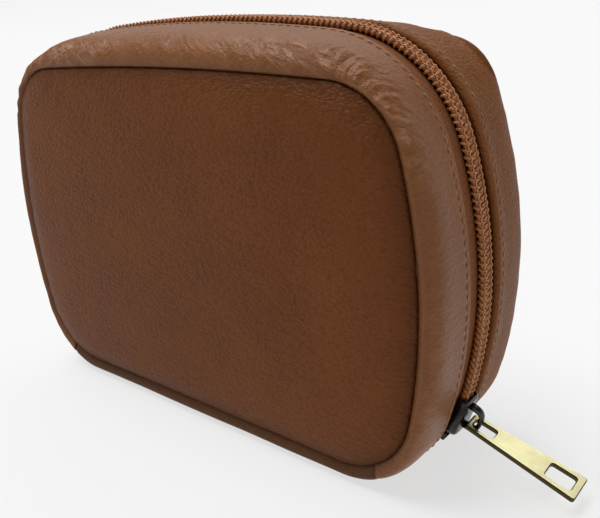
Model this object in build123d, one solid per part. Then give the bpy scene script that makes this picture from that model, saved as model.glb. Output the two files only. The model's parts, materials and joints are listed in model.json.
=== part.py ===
from build123d import *
import os
from math import asin, atan2, cos, degrees, hypot, pi, radians, sin, sqrt

# A padded leather toiletry bag that opens with one zip round three sides.
# Millimetres. X is the width, Y the depth with the front panel towards -Y, Z is up.
# The zip runs in the plane y = 0 and the bag rests on z = 0.

# Outline of the bag in the plane of the zip
ZIP_HALF_WIDTH = 88.7
ZIP_BELLY_HEIGHT = 57.0
ZIP_SIDE_RADIUS = 130.0
ZIP_TOP = 127.0
ZIP_TOP_RADIUS = 500.0
ZIP_TOP_CORNER = 41.0
ZIP_BOTTOM_CORNER = 26.0
REST_FLAT_DEPTH = 0.3

# Outline of the front seam, where the front panel meets its band
FRONT_SEAM_HALF_WIDTH = 83.5
FRONT_SEAM_TOP = 115.5
FRONT_SEAM_TOP_CORNER = 22.0
SEAM_BOTTOM = 5.5
SEAM_BOTTOM_CORNER = 24.0
SEAM_SIDE_RADIUS = 164.0
SEAM_TOP_RADIUS = 1100.0
FRONT_DEPTH = 27.6

# Outline of the back seam
BACK_SEAM_HALF_WIDTH = 85.0
BACK_SEAM_TOP = 121.0
BACK_SEAM_TOP_CORNER = 16.0
BACK_DEPTH = 27.0

# How fast the padded band swells from a seam to the zip: a higher power is fuller
SIDE_FULLNESS = 4.0
TOP_FULLNESS = 2.2
FRONT_CORNER_FULLNESS = 2.2
BACK_CORNER_FULLNESS = 2.0
STATIONS_PER_HALF = 6

# Layers, from the outside in. The padding fills the room between leather and lining, and the
# leather is thinned where it is turned under along the zip.
LEATHER = 1.0
TURNED_LEATHER = 0.6
LINING = 0.6
TAPE = 0.6
SEAM_LIP = 2.0
PANEL_FOAM_INSET = 4.2
PANEL_CROWN = 1.8
# The crowned face of a panel: share of the crown, and size there against the panel's edge
PANEL_CROWN_STEPS = ((0.0, 1.0), (0.5, 0.95), (0.8, 0.84), (1.0, 0.55))

# The bands stop short of the zip, the back one nearer to it, and are turned under along it
FRONT_ZIP_GAP = 8.2
BACK_ZIP_GAP = 6.5
TURNED_EDGE = 9.5
LINING_EDGE_SETBACK = 0.4

# The base strip has no zip and joins the front and back below it
BASE_HALF_WIDTH = 70.0
BASE_ZONE_HEIGHT = 14.0
STIFFENER_HALF_WIDTH = 56.0
STIFFENER_HALF_DEPTH = 17.0
BASE_LINING_HALF_DEPTH = 20.0

# Where the front folds down when the zip is open
FOLD_HEIGHT = 37.0
FOLD_GAP = 0.3

# Zip chain: the rows lock from CHAIN_START on, measured up from the slider's middle
TAPE_HALF_WIDTH = 15.0
TAPE_INNER_EDGE = 1.5
CHAIN_START = 0.7
COIL_HEIGHT = 2.3
COIL_HALF_WIDTH = 2.8
COIL_SPINE_WIDTH = 1.4
COIL_OVERLAP = 0.5
COIL_SEAT_GAP = 0.1
TOOTH_PITCH = 2.0
TOOTH_THICKNESS = 0.75
TOOTH_HEIGHT = 2.1
OPEN_RUN_OVERLAP = 0.35
OPEN_RUN_KNEE = 4.3
OPEN_RUN_PAST_SLIDER = 0.6
TOP_STOP_LENGTH = 2.6
TOP_STOP_GAP = 0.8
TOP_STOP_RISE = 0.2
BOTTOM_STOP_LENGTH = 5.0
BOTTOM_STOP_GAP = 0.3
BOTTOM_STOP_RISE = 0.6
BOTTOM_STOP_SIDE = 0.4
BOTTOM_STOP_CORNER = 0.8

# Slider and its bridge
SLIDER_HEIGHT = 17.8
SLIDER_LENGTH = 12.4
SLIDER_PLATE = 1.0
SLIDER_FLOOR_PLATE = 1.3
SLIDER_WIDE_HALF = 5.6
SLIDER_NARROW_HALF = 4.1
SLIDER_FLANGE = 0.9
SLIDER_CLEARANCE = 0.3
SLIDER_WIDE_CORNER = 2.6
SLIDER_NARROW_CORNER = 1.2
SLIDER_RIM = 0.35
SLIDER_WIDE_END = -1.6
SLIDER_NARROW_START = 2.4
WEDGE_HALF_WIDTH = 1.1
WEDGE_FOOT_HALF_WIDTH = 0.9
WEDGE_LENGTH = 6.0
WEDGE_SHOULDER = 2.7
WEDGE_SETBACK = 0.4
WEDGE_SINK = 0.3
BRIDGE_LENGTH = 9.0
BRIDGE_WIDTH = 2.2
BRIDGE_THICKNESS = 1.2
BRIDGE_INSIDE = 3.4
BRIDGE_FOOT = 1.6
BRIDGE_SHOULDER = 2.6
BRIDGE_OUTER_SLOPE = 1.9
BRIDGE_INNER_SHOULDER = 2.1
BRIDGE_INNER_SLOPE = 1.0
BRIDGE_CORNER = 0.8

# Pull tab: its round bar hangs in the lower end of the bridge
TAB_BAR_LOW = 1.6
TAB_LENGTH = 33.2
TAB_THICKNESS = 1.6
TAB_NARROW = 5.9
TAB_WIDE = 9.6
TAB_BAR_END_ROUND = 0.5
TAB_SLOT_WIDTH = 3.5
TAB_SLOT_LENGTH = 6.7
TAB_WINDOW_LENGTH = 7.5
TAB_WINDOW_WIDTH = 5.4
TAB_WINDOW_MARGIN = 2.1
TAB_CORNER = 0.9
TAB_EDGE_BREAK = 0.25
TAB_DROOP = 17.0
TAB_TWIST = 7.0


def outline(half_width, belly, side_radius, top, top_radius, top_corner, bottom, bottom_corner):
    """Sizes of one closed outline of tangent arcs, the same on the left and the right."""
    return {"half_width": half_width, "belly": belly, "side_radius": side_radius, "top": top,
            "top_radius": top_radius, "top_corner": top_corner, "bottom": bottom,
            "bottom_corner": bottom_corner}


def grow(shape, distance):
    """The outline moved outward by a distance, with every arc about the same centre."""
    moved = {name: value + distance for name, value in shape.items()}
    moved["belly"] = shape["belly"]
    moved["bottom"] = shape["bottom"] - distance
    return moved


def shrink(shape, factor):
    """The outline made smaller about the middle of its height."""
    middle = (shape["top"] + shape["bottom"]) / 2
    heights = ("belly", "top", "bottom")
    return {name: middle + factor * (value - middle) if name in heights else factor * value
            for name, value in shape.items()}


def meeting_point(centre_a, radius_a, centre_b, radius_b, upper):
    """The upper or lower point, on the right, where two circles in the XZ plane cross."""
    gap_x = centre_b[0] - centre_a[0]
    gap_z = centre_b[1] - centre_a[1]
    distance = hypot(gap_x, gap_z)
    along = (radius_a**2 - radius_b**2 + distance**2) / (2 * distance)
    across = sqrt(radius_a**2 - along**2)
    foot = (centre_a[0] + gap_x * along / distance, centre_a[1] + gap_z * along / distance)
    first = (foot[0] - gap_z * across / distance, foot[1] + gap_x * across / distance)
    second = (foot[0] + gap_z * across / distance, foot[1] - gap_x * across / distance)
    side = 1 if upper else -1
    return max((first, second), key=lambda point: point[0] + side * point[1])


def angle_from(centre, point):
    """Direction from a centre to a point in the XZ plane, in degrees from +X."""
    return degrees(atan2(point[1] - centre[1], point[0] - centre[0]))


def arcs(shape):
    """The seven arcs of an outline, anticlockwise from the bottom right corner.

    Each is a centre, a radius and its first and last angle. A straight line closes the bottom.
    """
    side_centre = (shape["half_width"] - shape["side_radius"], shape["belly"])
    top_centre = (0.0, shape["top"] - shape["top_radius"])
    corner = shape["bottom_corner"]
    low_z = shape["bottom"] + corner
    reach = shape["side_radius"] - corner
    low = (side_centre[0] + sqrt(reach**2 - (low_z - side_centre[1])**2), low_z)
    high = meeting_point(side_centre, shape["side_radius"] - shape["top_corner"],
                         top_centre, shape["top_radius"] - shape["top_corner"], True)
    low_angle = angle_from(side_centre, low)
    high_angle = angle_from(side_centre, high)
    top_angle = angle_from(top_centre, high)
    right = [(low, corner, -90.0, low_angle),
             (side_centre, shape["side_radius"], low_angle, high_angle),
             (high, shape["top_corner"], high_angle, top_angle)]
    left = [((-centre[0], centre[1]), radius, 180 - end, 180 - start)
            for centre, radius, start, end in reversed(right)]
    return right + [(top_centre, shape["top_radius"], top_angle, 180 - top_angle)] + left


def on_arc(centre, radius, angle):
    """A point in the XZ plane at an angle on an arc."""
    return (centre[0] + radius * cos(radians(angle)), centre[1] + radius * sin(radians(angle)))


def ring_wire(shape, y):
    """The outline as a closed wire at one depth."""
    edges = []
    for centre, radius, start, end in arcs(shape):
        spots = [on_arc(centre, radius, angle) for angle in (start, (start + end) / 2, end)]
        edges.append(Edge.make_three_point_arc(*[Vector(x, y, z) for x, z in spots]))
    edges.append(Edge.make_line(edges[-1] @ 1, edges[0] @ 0))
    return Wire(edges)


def prism(shape, y_low, y_high):
    """A straight solid with this outline between two depths."""
    return Solid.make_loft([ring_wire(shape, y_low), ring_wire(shape, y_high)], ruled=True)


def slab(x_low, x_high, y_low, y_high, z_low, z_high):
    """A box given by its limits."""
    size = (x_high - x_low, y_high - y_low, z_high - z_low)
    middle = ((x_low + x_high) / 2, (y_low + y_high) / 2, (z_low + z_high) / 2)
    return Pos(*middle) * Box(*size)


ZIP_LINE = outline(ZIP_HALF_WIDTH, ZIP_BELLY_HEIGHT, ZIP_SIDE_RADIUS, ZIP_TOP, ZIP_TOP_RADIUS,
                   ZIP_TOP_CORNER, -REST_FLAT_DEPTH, ZIP_BOTTOM_CORNER)
FRONT_SEAM = outline(FRONT_SEAM_HALF_WIDTH, ZIP_BELLY_HEIGHT, SEAM_SIDE_RADIUS, FRONT_SEAM_TOP,
                     SEAM_TOP_RADIUS, FRONT_SEAM_TOP_CORNER, SEAM_BOTTOM, SEAM_BOTTOM_CORNER)
BACK_SEAM = outline(BACK_SEAM_HALF_WIDTH, ZIP_BELLY_HEIGHT, SEAM_SIDE_RADIUS, BACK_SEAM_TOP,
                    SEAM_TOP_RADIUS, BACK_SEAM_TOP_CORNER, SEAM_BOTTOM, SEAM_BOTTOM_CORNER)
FAR = 4 * ZIP_HALF_WIDTH


def between(y_low, y_high):
    """Everything between two depths."""
    return slab(-FAR, FAR, y_low, y_high, -FAR, FAR)


def swell(share, power):
    """How far the band has swelled at a share of the depth: 0 at the seam, 1 at the zip."""
    return max(1 - abs(share)**power, 0)**(1 / power)


def band_outline(seam, share, corner_power):
    """Outline of the padded band at a share of the depth from the zip (0) to a seam (1)."""
    fullness = {"top": TOP_FULLNESS, "top_corner": corner_power, "top_radius": TOP_FULLNESS}
    shape = {}
    for name, at_seam in seam.items():
        swelled = swell(share, fullness.get(name, SIDE_FULLNESS))
        shape[name] = at_seam + (ZIP_LINE[name] - at_seam) * swelled
    return shape


def skin(inset):
    """The whole padded body, moved inward by an inset, lofted from the front seam to the back."""
    steps = range(STATIONS_PER_HALF + 1)
    shares = [cos(pi / 2 * step / STATIONS_PER_HALF) for step in steps]
    wires = []
    for share in shares:
        shape = band_outline(FRONT_SEAM, share, FRONT_CORNER_FULLNESS)
        wires.append(ring_wire(grow(shape, -inset), -share * (FRONT_DEPTH - inset)))
    for share in reversed(shares[:-1]):
        shape = band_outline(BACK_SEAM, share, BACK_CORNER_FULLNESS)
        wires.append(ring_wire(grow(shape, -inset), share * (BACK_DEPTH - inset)))
    return Solid.make_loft(wires) & between(inset - FRONT_DEPTH, BACK_DEPTH - inset)


def one_shape(part):
    """The solids of a result as one shape for export."""
    solids = part.solids()
    return solids[0] if len(solids) == 1 else Compound(children=solids)


ABOVE_REST = slab(-FAR, FAR, -FAR, FAR, 0, FAR)
HEM = LEATHER + TURNED_LEATHER
TAPE_TOP = HEM
LINING_TOP = HEM + TAPE
OUTSIDE = skin(0)
LEATHER_INSIDE = skin(LEATHER)
HEM_INSIDE = skin(HEM)
FOAM_INSIDE = skin(LINING_TOP)
LINING_INSIDE = skin(LINING_TOP + LINING)
LEATHER_SHELL = (OUTSIDE - LEATHER_INSIDE) & ABOVE_REST
FOAM_SHELL = LEATHER_INSIDE - FOAM_INSIDE
LINING_SHELL = FOAM_INSIDE - LINING_INSIDE
TAPE_SHELL = HEM_INSIDE - FOAM_INSIDE


def base_block(half_width, half_depth, height):
    """The space over the base within a width, a depth and a height."""
    return slab(-half_width, half_width, -half_depth, half_depth, -FAR, height)


BASE_ZONE = base_block(BASE_HALF_WIDTH, FAR, BASE_ZONE_HEIGHT)
BASE_LINING_ZONE = base_block(BASE_HALF_WIDTH, BASE_LINING_HALF_DEPTH, BASE_ZONE_HEIGHT)
STIFFENER_ZONE = base_block(STIFFENER_HALF_WIDTH, STIFFENER_HALF_DEPTH, BASE_ZONE_HEIGHT / 2)
ABOVE_FOLD = slab(-FAR, FAR, -FAR, FAR, FOLD_HEIGHT + FOLD_GAP / 2, FAR)
BELOW_FOLD = slab(-FAR, FAR, -FAR, FAR, -FAR, FOLD_HEIGHT - FOLD_GAP / 2)
ZIP_GAP = {-1: FRONT_ZIP_GAP, 1: BACK_ZIP_GAP}


def side_span(side, near, far):
    """Everything between two distances from the zip, on the front (-1) or back (+1)."""
    return between(*sorted((side * near, side * far)))


def under_hem_span(side):
    """The depths that the turned edge of a band covers, from the zip plane on."""
    return side_span(side, 0, ZIP_GAP[side] + TURNED_EDGE)


def past_hem_span(side):
    """The depths of a band past its turned edge."""
    return side_span(side, ZIP_GAP[side] + TURNED_EDGE, FAR)


def seam_prism(side, seam, inset, near, far):
    """A prism inside a seam line, between two distances from the zip."""
    y_low, y_high = sorted((side * near, side * far))
    return prism(grow(seam, -inset), y_low, y_high)


def panel_window(side, seam, depth):
    """The opening of a band, where its panel sits."""
    return seam_prism(side, seam, SEAM_LIP, depth - HEM, depth + LEATHER)


def band(side, seam, depth):
    """Leather band with its turned edge along the zip and its lip at the panel seam."""
    whole = (OUTSIDE & side_span(side, ZIP_GAP[side], FAR)) & ABOVE_REST
    under_hem = HEM_INSIDE & under_hem_span(side)
    behind = LEATHER_INSIDE & past_hem_span(side)
    return whole - BASE_ZONE - under_hem - behind - panel_window(side, seam, depth)


def base_gusset():
    """The strip of leather under the bag, from seam to seam, flat where it rests."""
    front_window = panel_window(-1, FRONT_SEAM, FRONT_DEPTH)
    back_window = panel_window(1, BACK_SEAM, BACK_DEPTH)
    return (LEATHER_SHELL & BASE_ZONE) - front_window - back_window


def panel(side, seam, depth):
    """Leather panel inside the seam, crowned a little by the padding behind it."""
    face = grow(seam, -SEAM_LIP)
    wires = [ring_wire(face, side * (depth - LEATHER))]
    for share, factor in PANEL_CROWN_STEPS:
        wires.append(ring_wire(shrink(face, factor), side * (depth + share * PANEL_CROWN)))
    return Solid.make_loft(wires, ruled=True)


def panel_foam(side, seam, depth):
    """Sheet of padding behind a panel."""
    return seam_prism(side, seam, PANEL_FOAM_INSET, depth - LINING_TOP, depth - LEATHER)


def band_foam(side, seam, depth):
    """Padding inside a band, between the panel padding and the turned edge."""
    hollow = seam_prism(side, seam, PANEL_FOAM_INSET, depth - 2 * LINING_TOP, depth)
    return (FOAM_SHELL & past_hem_span(side)) - hollow - BASE_ZONE


def lining(side):
    """Sewn lining of one half: a dish that ends beside the zip chain."""
    edge = ZIP_GAP[side] + LINING_EDGE_SETBACK
    return (LINING_SHELL & side_span(side, edge, FAR)) - BASE_LINING_ZONE


def base_lining():
    """Strip of lining across the base."""
    return LINING_SHELL & BASE_LINING_ZONE


def base_stiffener():
    """Board between the leather and the lining of the base."""
    return FOAM_SHELL & STIFFENER_ZONE


# The line that the chain follows, measured along the outline from the slider's middle
SIDE_CENTRE = (ZIP_HALF_WIDTH - ZIP_SIDE_RADIUS, ZIP_BELLY_HEIGHT)
SLIDER_ANGLE = degrees(asin((SLIDER_HEIGHT - ZIP_BELLY_HEIGHT) / ZIP_SIDE_RADIUS))
COIL_BOTTOM = HEM - COIL_SEAT_GAP
COIL_TOP = COIL_BOTTOM - COIL_HEIGHT
ROW_SHIFT = WEDGE_HALF_WIDTH + SLIDER_CLEARANCE


def chain_point(distance):
    """Point and outward direction of the zip line at a distance from the slider's middle."""
    left = distance
    for index, (centre, radius, start, end) in enumerate(arcs(ZIP_LINE)[1:]):
        begin = SLIDER_ANGLE if index == 0 else start
        length = radians(end - begin) * radius
        if left <= length or index == 5:
            angle = begin + degrees(left / radius)
            return on_arc(centre, radius, angle), angle
        left -= length


def chain_length():
    """Length of the zip line from the slider's middle to the same height on the left."""
    spans = arcs(ZIP_LINE)[1:6]
    whole = sum(radians(end - start) * radius for centre, radius, start, end in spans)
    return whole - 2 * radians(SLIDER_ANGLE - spans[0][2]) * ZIP_SIDE_RADIUS


CHAIN_END = chain_length()


def coil_zone():
    """The stretch of the outline that carries the closed chain."""
    start, direction = chain_point(CHAIN_START)
    return slab(-FAR, FAR, -FAR, FAR, start[1], FAR)


def zip_ring(depth_top, depth_floor):
    """A wide ring that follows the outline between two depths under the zip line."""
    outer = prism(grow(ZIP_LINE, -depth_top), -TAPE_HALF_WIDTH, TAPE_HALF_WIDTH)
    inner = prism(grow(ZIP_LINE, -depth_floor), -2 * TAPE_HALF_WIDTH, 2 * TAPE_HALF_WIDTH)
    return outer - inner


def coil_spine(side):
    """The outer loops of one coil row as one band, where they are sewn to the tape."""
    span = side_span(side, COIL_HALF_WIDTH - COIL_SPINE_WIDTH, COIL_HALF_WIDTH)
    return zip_ring(COIL_TOP, COIL_BOTTOM) & span & coil_zone()


def coil_teeth(side):
    """The loops of one row that hook between the loops of the other row."""
    count = int((CHAIN_END - 2 * TOOTH_PITCH) / TOOTH_PITCH)
    first = CHAIN_START + TOOTH_PITCH * (0.5 if side < 0 else 1.0)
    reach = COIL_HALF_WIDTH - COIL_SPINE_WIDTH / 2 + COIL_OVERLAP
    middle_y = side * (reach / 2 - COIL_OVERLAP)
    depth = (COIL_TOP + COIL_BOTTOM) / 2
    teeth = []
    for index in range(count):
        (x, z), angle = chain_point(first + index * TOOTH_PITCH)
        x -= depth * cos(radians(angle))
        z -= depth * sin(radians(angle))
        tooth = Box(TOOTH_HEIGHT, reach, TOOTH_THICKNESS)
        teeth.append(Pos(x, middle_y, z) * Rot(0, -angle, 0) * tooth)
    return teeth


def at_slider(local):
    """A shape made with X outward, Y across and Z along the chain, put at the slider."""
    (x, z), angle = chain_point(0)
    return Pos(x, 0, z) * Rot(0, -angle, 0) * local


def plan_prism(points, x_low, x_high):
    """A flat outline of (across, along) points, thick in the outward direction."""
    face = Face(Wire.make_polygon([Vector(x_low, y, z) for y, z in points], close=True))
    return Solid.extrude(face, Vector(x_high - x_low, 0, 0))


def open_run(side):
    """End of a coil row that parts from the other one round the slider's wedge."""
    far = COIL_HALF_WIDTH + ROW_SHIFT
    foot = -SLIDER_LENGTH / 2 - OPEN_RUN_PAST_SLIDER
    knee = -OPEN_RUN_KNEE
    points = [(side * OPEN_RUN_OVERLAP, CHAIN_START), (side * COIL_HALF_WIDTH, CHAIN_START),
              (side * far, knee), (side * far, foot), (side * ROW_SHIFT, foot), (side * ROW_SHIFT, knee)]
    plan = at_slider(plan_prism(points, -TAPE_HALF_WIDTH, TAPE_HALF_WIDTH))
    return zip_ring(COIL_BOTTOM - TOOTH_HEIGHT, COIL_BOTTOM) & plan


def coil(side):
    """One row of the coil with its open end at the slider."""
    return coil_spine(side) + coil_teeth(side) + open_run(side)


def tape(side):
    """Woven tape of one side of the zip, sewn under the turned edge of its band."""
    return (TAPE_SHELL & side_span(side, TAPE_INNER_EDGE, TAPE_HALF_WIDTH)) - BASE_ZONE


def top_stops():
    """The two stops that the slider rests against when the zip is shut."""
    near = ROW_SHIFT
    far = COIL_HALF_WIDTH + ROW_SHIFT
    top = -SLIDER_LENGTH / 2 - TOP_STOP_GAP
    foot = top - TOP_STOP_LENGTH
    ring = zip_ring(COIL_TOP - TOP_STOP_RISE, COIL_BOTTOM)
    stops = []
    for side in (-1, 1):
        points = [(side * near, top), (side * far, top), (side * far, foot), (side * near, foot)]
        stops += (ring & at_slider(plan_prism(points, -TAPE_HALF_WIDTH, TAPE_HALF_WIDTH))).solids()
    return Compound(children=stops)


def bottom_stop():
    """The crimped stop that holds both rows together at the far end of the zip."""
    (x, z), angle = chain_point(CHAIN_END + BOTTOM_STOP_LENGTH / 2 + BOTTOM_STOP_GAP)
    height = COIL_HEIGHT + BOTTOM_STOP_RISE
    block = Box(height, 2 * (COIL_HALF_WIDTH + BOTTOM_STOP_SIDE), BOTTOM_STOP_LENGTH)
    block = fillet(block.edges().filter_by(Axis.X), BOTTOM_STOP_CORNER)
    depth = COIL_BOTTOM - height / 2
    return Pos(x, 0, z) * Rot(0, -angle, 0) * Pos(-depth, 0, 0) * block


CHANNEL_TOP = COIL_TOP - SLIDER_CLEARANCE
CHANNEL_FLOOR = LINING_TOP + SLIDER_CLEARANCE
SLOT_TOP = TAPE_TOP - SLIDER_CLEARANCE
PLATE_TOP = SLIDER_PLATE - CHANNEL_TOP


def slider_room(depth_top, depth_floor):
    """The room that the zip needs in the slider, in the slider's own frame.

    It is a ring about the side arc's centre, for the travel, and a ring along the bag's outline,
    for the place where the slider rests half way round the lower corner.
    """
    width = 2 * TAPE_HALF_WIDTH
    outer = Cylinder(ZIP_SIDE_RADIUS - depth_top, width, rotation=(90, 0, 0))
    inner = Cylinder(ZIP_SIDE_RADIUS - depth_floor, width + 1, rotation=(90, 0, 0))
    travel = Pos(-ZIP_SIDE_RADIUS, 0, 0) * (outer - inner)
    (x, z), angle = chain_point(0)
    at_rest = Rot(0, angle, 0) * Pos(-x, 0, -z) * zip_ring(depth_top, depth_floor)
    return travel + at_rest


def slider_plan(inset):
    """Plan of the slider: wide at the end where the rows come apart, narrow at the other.

    An inset takes the two sides inward and runs the two ends out past the slider.
    """
    wide = SLIDER_WIDE_HALF - inset
    narrow = SLIDER_NARROW_HALF - inset
    end = SLIDER_LENGTH / 2 + inset
    right = [(wide, -end), (wide, SLIDER_WIDE_END), (narrow, SLIDER_NARROW_START), (narrow, end)]
    return right + [(-y, z) for y, z in reversed(right)]


def slider_body():
    """Two plates joined by a wedge, with flanges that hold the coil and slots for the tape."""
    bottom = -CHANNEL_FLOOR - SLIDER_FLOOR_PLATE
    hull = plan_prism(slider_plan(0), bottom, PLATE_TOP)
    corners = hull.edges().filter_by(Axis.X).sort_by(Axis.Z)
    hull = hull.fillet(SLIDER_WIDE_CORNER, corners[:2])
    corners = hull.edges().filter_by(Axis.X).sort_by(Axis.Z)
    hull = hull.fillet(SLIDER_NARROW_CORNER, corners[-2:])
    hull = hull.fillet(SLIDER_RIM, hull.faces().sort_by(Axis.X)[-1].edges())
    core = plan_prism(slider_plan(SLIDER_FLANGE), bottom, PLATE_TOP)
    coil_room = slider_room(CHANNEL_TOP, CHANNEL_FLOOR) & core
    tape_room = slider_room(SLOT_TOP, CHANNEL_FLOOR)
    foot = -SLIDER_LENGTH / 2 + WEDGE_SETBACK
    shoulder = foot + WEDGE_SHOULDER
    plan = [(0, foot + WEDGE_LENGTH), (-WEDGE_HALF_WIDTH, shoulder), (-WEDGE_FOOT_HALF_WIDTH, foot),
            (WEDGE_FOOT_HALF_WIDTH, foot), (WEDGE_HALF_WIDTH, shoulder)]
    wedge = plan_prism(plan, bottom + WEDGE_SINK, PLATE_TOP - WEDGE_SINK)
    return at_slider(hull - coil_room - tape_room + wedge)


def slider_bridge():
    """Arch over the upper plate that traps the tab's bar."""
    half = BRIDGE_LENGTH / 2
    height = BRIDGE_INSIDE + BRIDGE_THICKNESS
    outer = arch_block(0, height, half, BRIDGE_SHOULDER, BRIDGE_OUTER_SLOPE, BRIDGE_WIDTH)
    inner = arch_block(-BRIDGE_FOOT, BRIDGE_INSIDE, half - BRIDGE_FOOT, BRIDGE_INNER_SHOULDER,
                       BRIDGE_INNER_SLOPE, 2 * BRIDGE_WIDTH)
    return at_slider(Pos(PLATE_TOP, 0, 0) * (outer - inner))


def arch_block(foot, height, half, shoulder, slope, width):
    """A block whose upper corners slope in and are rounded, from (outward, along) points."""
    upper = [(foot, half), (shoulder, half), (height, half - slope)]
    points = upper + [(x, -z) for x, z in reversed(upper)]
    face = Face(Wire.make_polygon([Vector(x, -width / 2, z) for x, z in points], close=True))
    block = Solid.extrude(face, Vector(0, width, 0))
    return block.fillet(BRIDGE_CORNER, block.edges().filter_by(Axis.Y).sort_by(Axis.X)[2:])


TAB_AXIS_HEIGHT = PLATE_TOP + BRIDGE_INSIDE / 2


def tab_axis():
    """Where the tab's bar turns under the lower end of the bridge, in the XZ plane."""
    axis = at_slider(Pos(TAB_AXIS_HEIGHT, 0, -TAB_BAR_LOW) * Vertex(0, 0, 0)).center()
    return (axis.X, axis.Z)


def pull_tab():
    """Tapered metal tab with a round bar, a slot for the bridge and a window near its wide end."""
    bar_radius = TAB_THICKNESS / 2
    body = Polyline((0, -TAB_NARROW / 2), (TAB_LENGTH, -TAB_WIDE / 2), (TAB_LENGTH, TAB_WIDE / 2),
                    (0, TAB_NARROW / 2), close=True)
    face = make_face(body)
    face = fillet(face.vertices().sort_by(Axis.X)[-2:], TAB_CORNER)
    slot_middle = bar_radius + TAB_SLOT_LENGTH / 2
    face -= Pos(slot_middle, 0) * RectangleRounded(TAB_SLOT_LENGTH, TAB_SLOT_WIDTH, TAB_CORNER)
    window_middle = TAB_LENGTH - TAB_WINDOW_MARGIN - TAB_WINDOW_LENGTH / 2
    face -= Pos(window_middle, 0) * RectangleRounded(TAB_WINDOW_LENGTH, TAB_WINDOW_WIDTH, TAB_CORNER)
    plate = extrude(face, TAB_THICKNESS / 2, both=True)
    plate = chamfer(plate.faces().filter_by(Axis.Z).edges(), TAB_EDGE_BREAK)
    bar = Cylinder(bar_radius, TAB_NARROW, rotation=(90, 0, 0))
    bar = fillet(bar.edges().filter_by(GeomType.CIRCLE), TAB_BAR_END_ROUND)
    x, z = tab_axis()
    return Pos(x, 0, z) * Rot(0, TAB_DROOP, 0) * Rot(TAB_TWIST, 0, 0) * (plate + bar)


def fold_pair(name, piece):
    """A layer of the front, parted where the front folds down."""
    return {name + "_upper": piece & ABOVE_FOLD, name + "_lower": piece & BELOW_FOLD}


def all_nodes():
    """Every node of the bag by name."""
    nodes = {}
    nodes.update(fold_pair("front_panel", panel(-1, FRONT_SEAM, FRONT_DEPTH)))
    nodes.update(fold_pair("front_panel_foam", panel_foam(-1, FRONT_SEAM, FRONT_DEPTH)))
    nodes.update(fold_pair("front_band", band(-1, FRONT_SEAM, FRONT_DEPTH)))
    nodes.update(fold_pair("front_band_foam", band_foam(-1, FRONT_SEAM, FRONT_DEPTH)))
    nodes.update(fold_pair("front_lining", lining(-1)))
    nodes.update(fold_pair("front_zip_tape", tape(-1)))
    nodes.update(fold_pair("front_zip_coil", coil(-1)))
    nodes["back_panel"] = panel(1, BACK_SEAM, BACK_DEPTH)
    nodes["back_panel_foam"] = panel_foam(1, BACK_SEAM, BACK_DEPTH)
    nodes["back_band"] = band(1, BACK_SEAM, BACK_DEPTH)
    nodes["back_band_foam"] = band_foam(1, BACK_SEAM, BACK_DEPTH)
    nodes["back_lining"] = lining(1)
    nodes["back_zip_tape"] = tape(1)
    nodes["back_zip_coil"] = coil(1)
    nodes["base_gusset"] = base_gusset()
    nodes["base_stiffener"] = base_stiffener()
    nodes["base_lining"] = base_lining()
    nodes["zip_top_stops"] = top_stops()
    nodes["zip_bottom_stop"] = bottom_stop()
    nodes["slider_body"] = slider_body()
    nodes["slider_bridge"] = slider_bridge()
    nodes["pull_tab"] = pull_tab()
    return nodes


os.makedirs("parts", exist_ok=True)
for node_name, node_shape in all_nodes().items():
    export_step(one_shape(node_shape), "parts/" + node_name + ".step")
    print(node_name, "solids", len(node_shape.solids()), "volume", round(node_shape.volume))
axis_x, axis_z = tab_axis()
print("slider hinge centre", SIDE_CENTRE, "slider angle", round(SLIDER_ANGLE, 3))
print("side arc", [round(value, 2) for value in arcs(ZIP_LINE)[1][2:]])
print("tab axis", round(axis_x, 3), round(axis_z, 3), "chain", round(CHAIN_END, 2))
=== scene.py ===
# %% [markdown]
# # A padded leather toiletry bag
# The bag is a soft box: a front and a back panel, each sewn to a padded band of leather, and a
# zip between the two bands. A strip of leather closes the base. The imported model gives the
# bodies and the joints, and this script dresses them. All shapes are worked out in millimetres
# and put into Blender in metres. A side is -1 at the front and 1 at the back.

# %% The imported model
import json
import math

import bpy
import numpy as np
from mathutils import Matrix

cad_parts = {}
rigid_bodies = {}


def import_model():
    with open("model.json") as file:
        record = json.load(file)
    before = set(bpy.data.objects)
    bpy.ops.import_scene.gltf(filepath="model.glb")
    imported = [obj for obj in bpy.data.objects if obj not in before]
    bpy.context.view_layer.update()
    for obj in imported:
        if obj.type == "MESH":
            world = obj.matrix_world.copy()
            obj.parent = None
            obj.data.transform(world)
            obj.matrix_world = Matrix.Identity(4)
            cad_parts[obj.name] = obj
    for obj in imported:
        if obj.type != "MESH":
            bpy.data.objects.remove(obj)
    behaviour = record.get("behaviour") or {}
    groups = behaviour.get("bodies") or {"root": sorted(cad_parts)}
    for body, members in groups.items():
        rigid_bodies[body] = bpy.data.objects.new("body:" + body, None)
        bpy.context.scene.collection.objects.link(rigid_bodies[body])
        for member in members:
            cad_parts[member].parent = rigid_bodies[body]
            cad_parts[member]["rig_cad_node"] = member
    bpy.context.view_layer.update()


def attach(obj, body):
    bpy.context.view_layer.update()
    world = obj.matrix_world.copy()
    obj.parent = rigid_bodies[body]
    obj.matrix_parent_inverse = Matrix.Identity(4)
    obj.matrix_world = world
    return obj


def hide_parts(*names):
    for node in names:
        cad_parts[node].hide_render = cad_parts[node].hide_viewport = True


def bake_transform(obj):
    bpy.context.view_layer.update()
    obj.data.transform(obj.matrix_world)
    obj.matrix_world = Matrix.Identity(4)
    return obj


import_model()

MM = 0.001
SIDES = ((-1, "front_"), (1, "back_"))

# %% [markdown]
# ## The camera
# The photograph looks at the bag's right front corner from a little above, tilted slightly. The
# camera is placed by an angle round the bag, a height angle, a roll and the distances along its
# own axes, which is how a camera match gives them.

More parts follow.
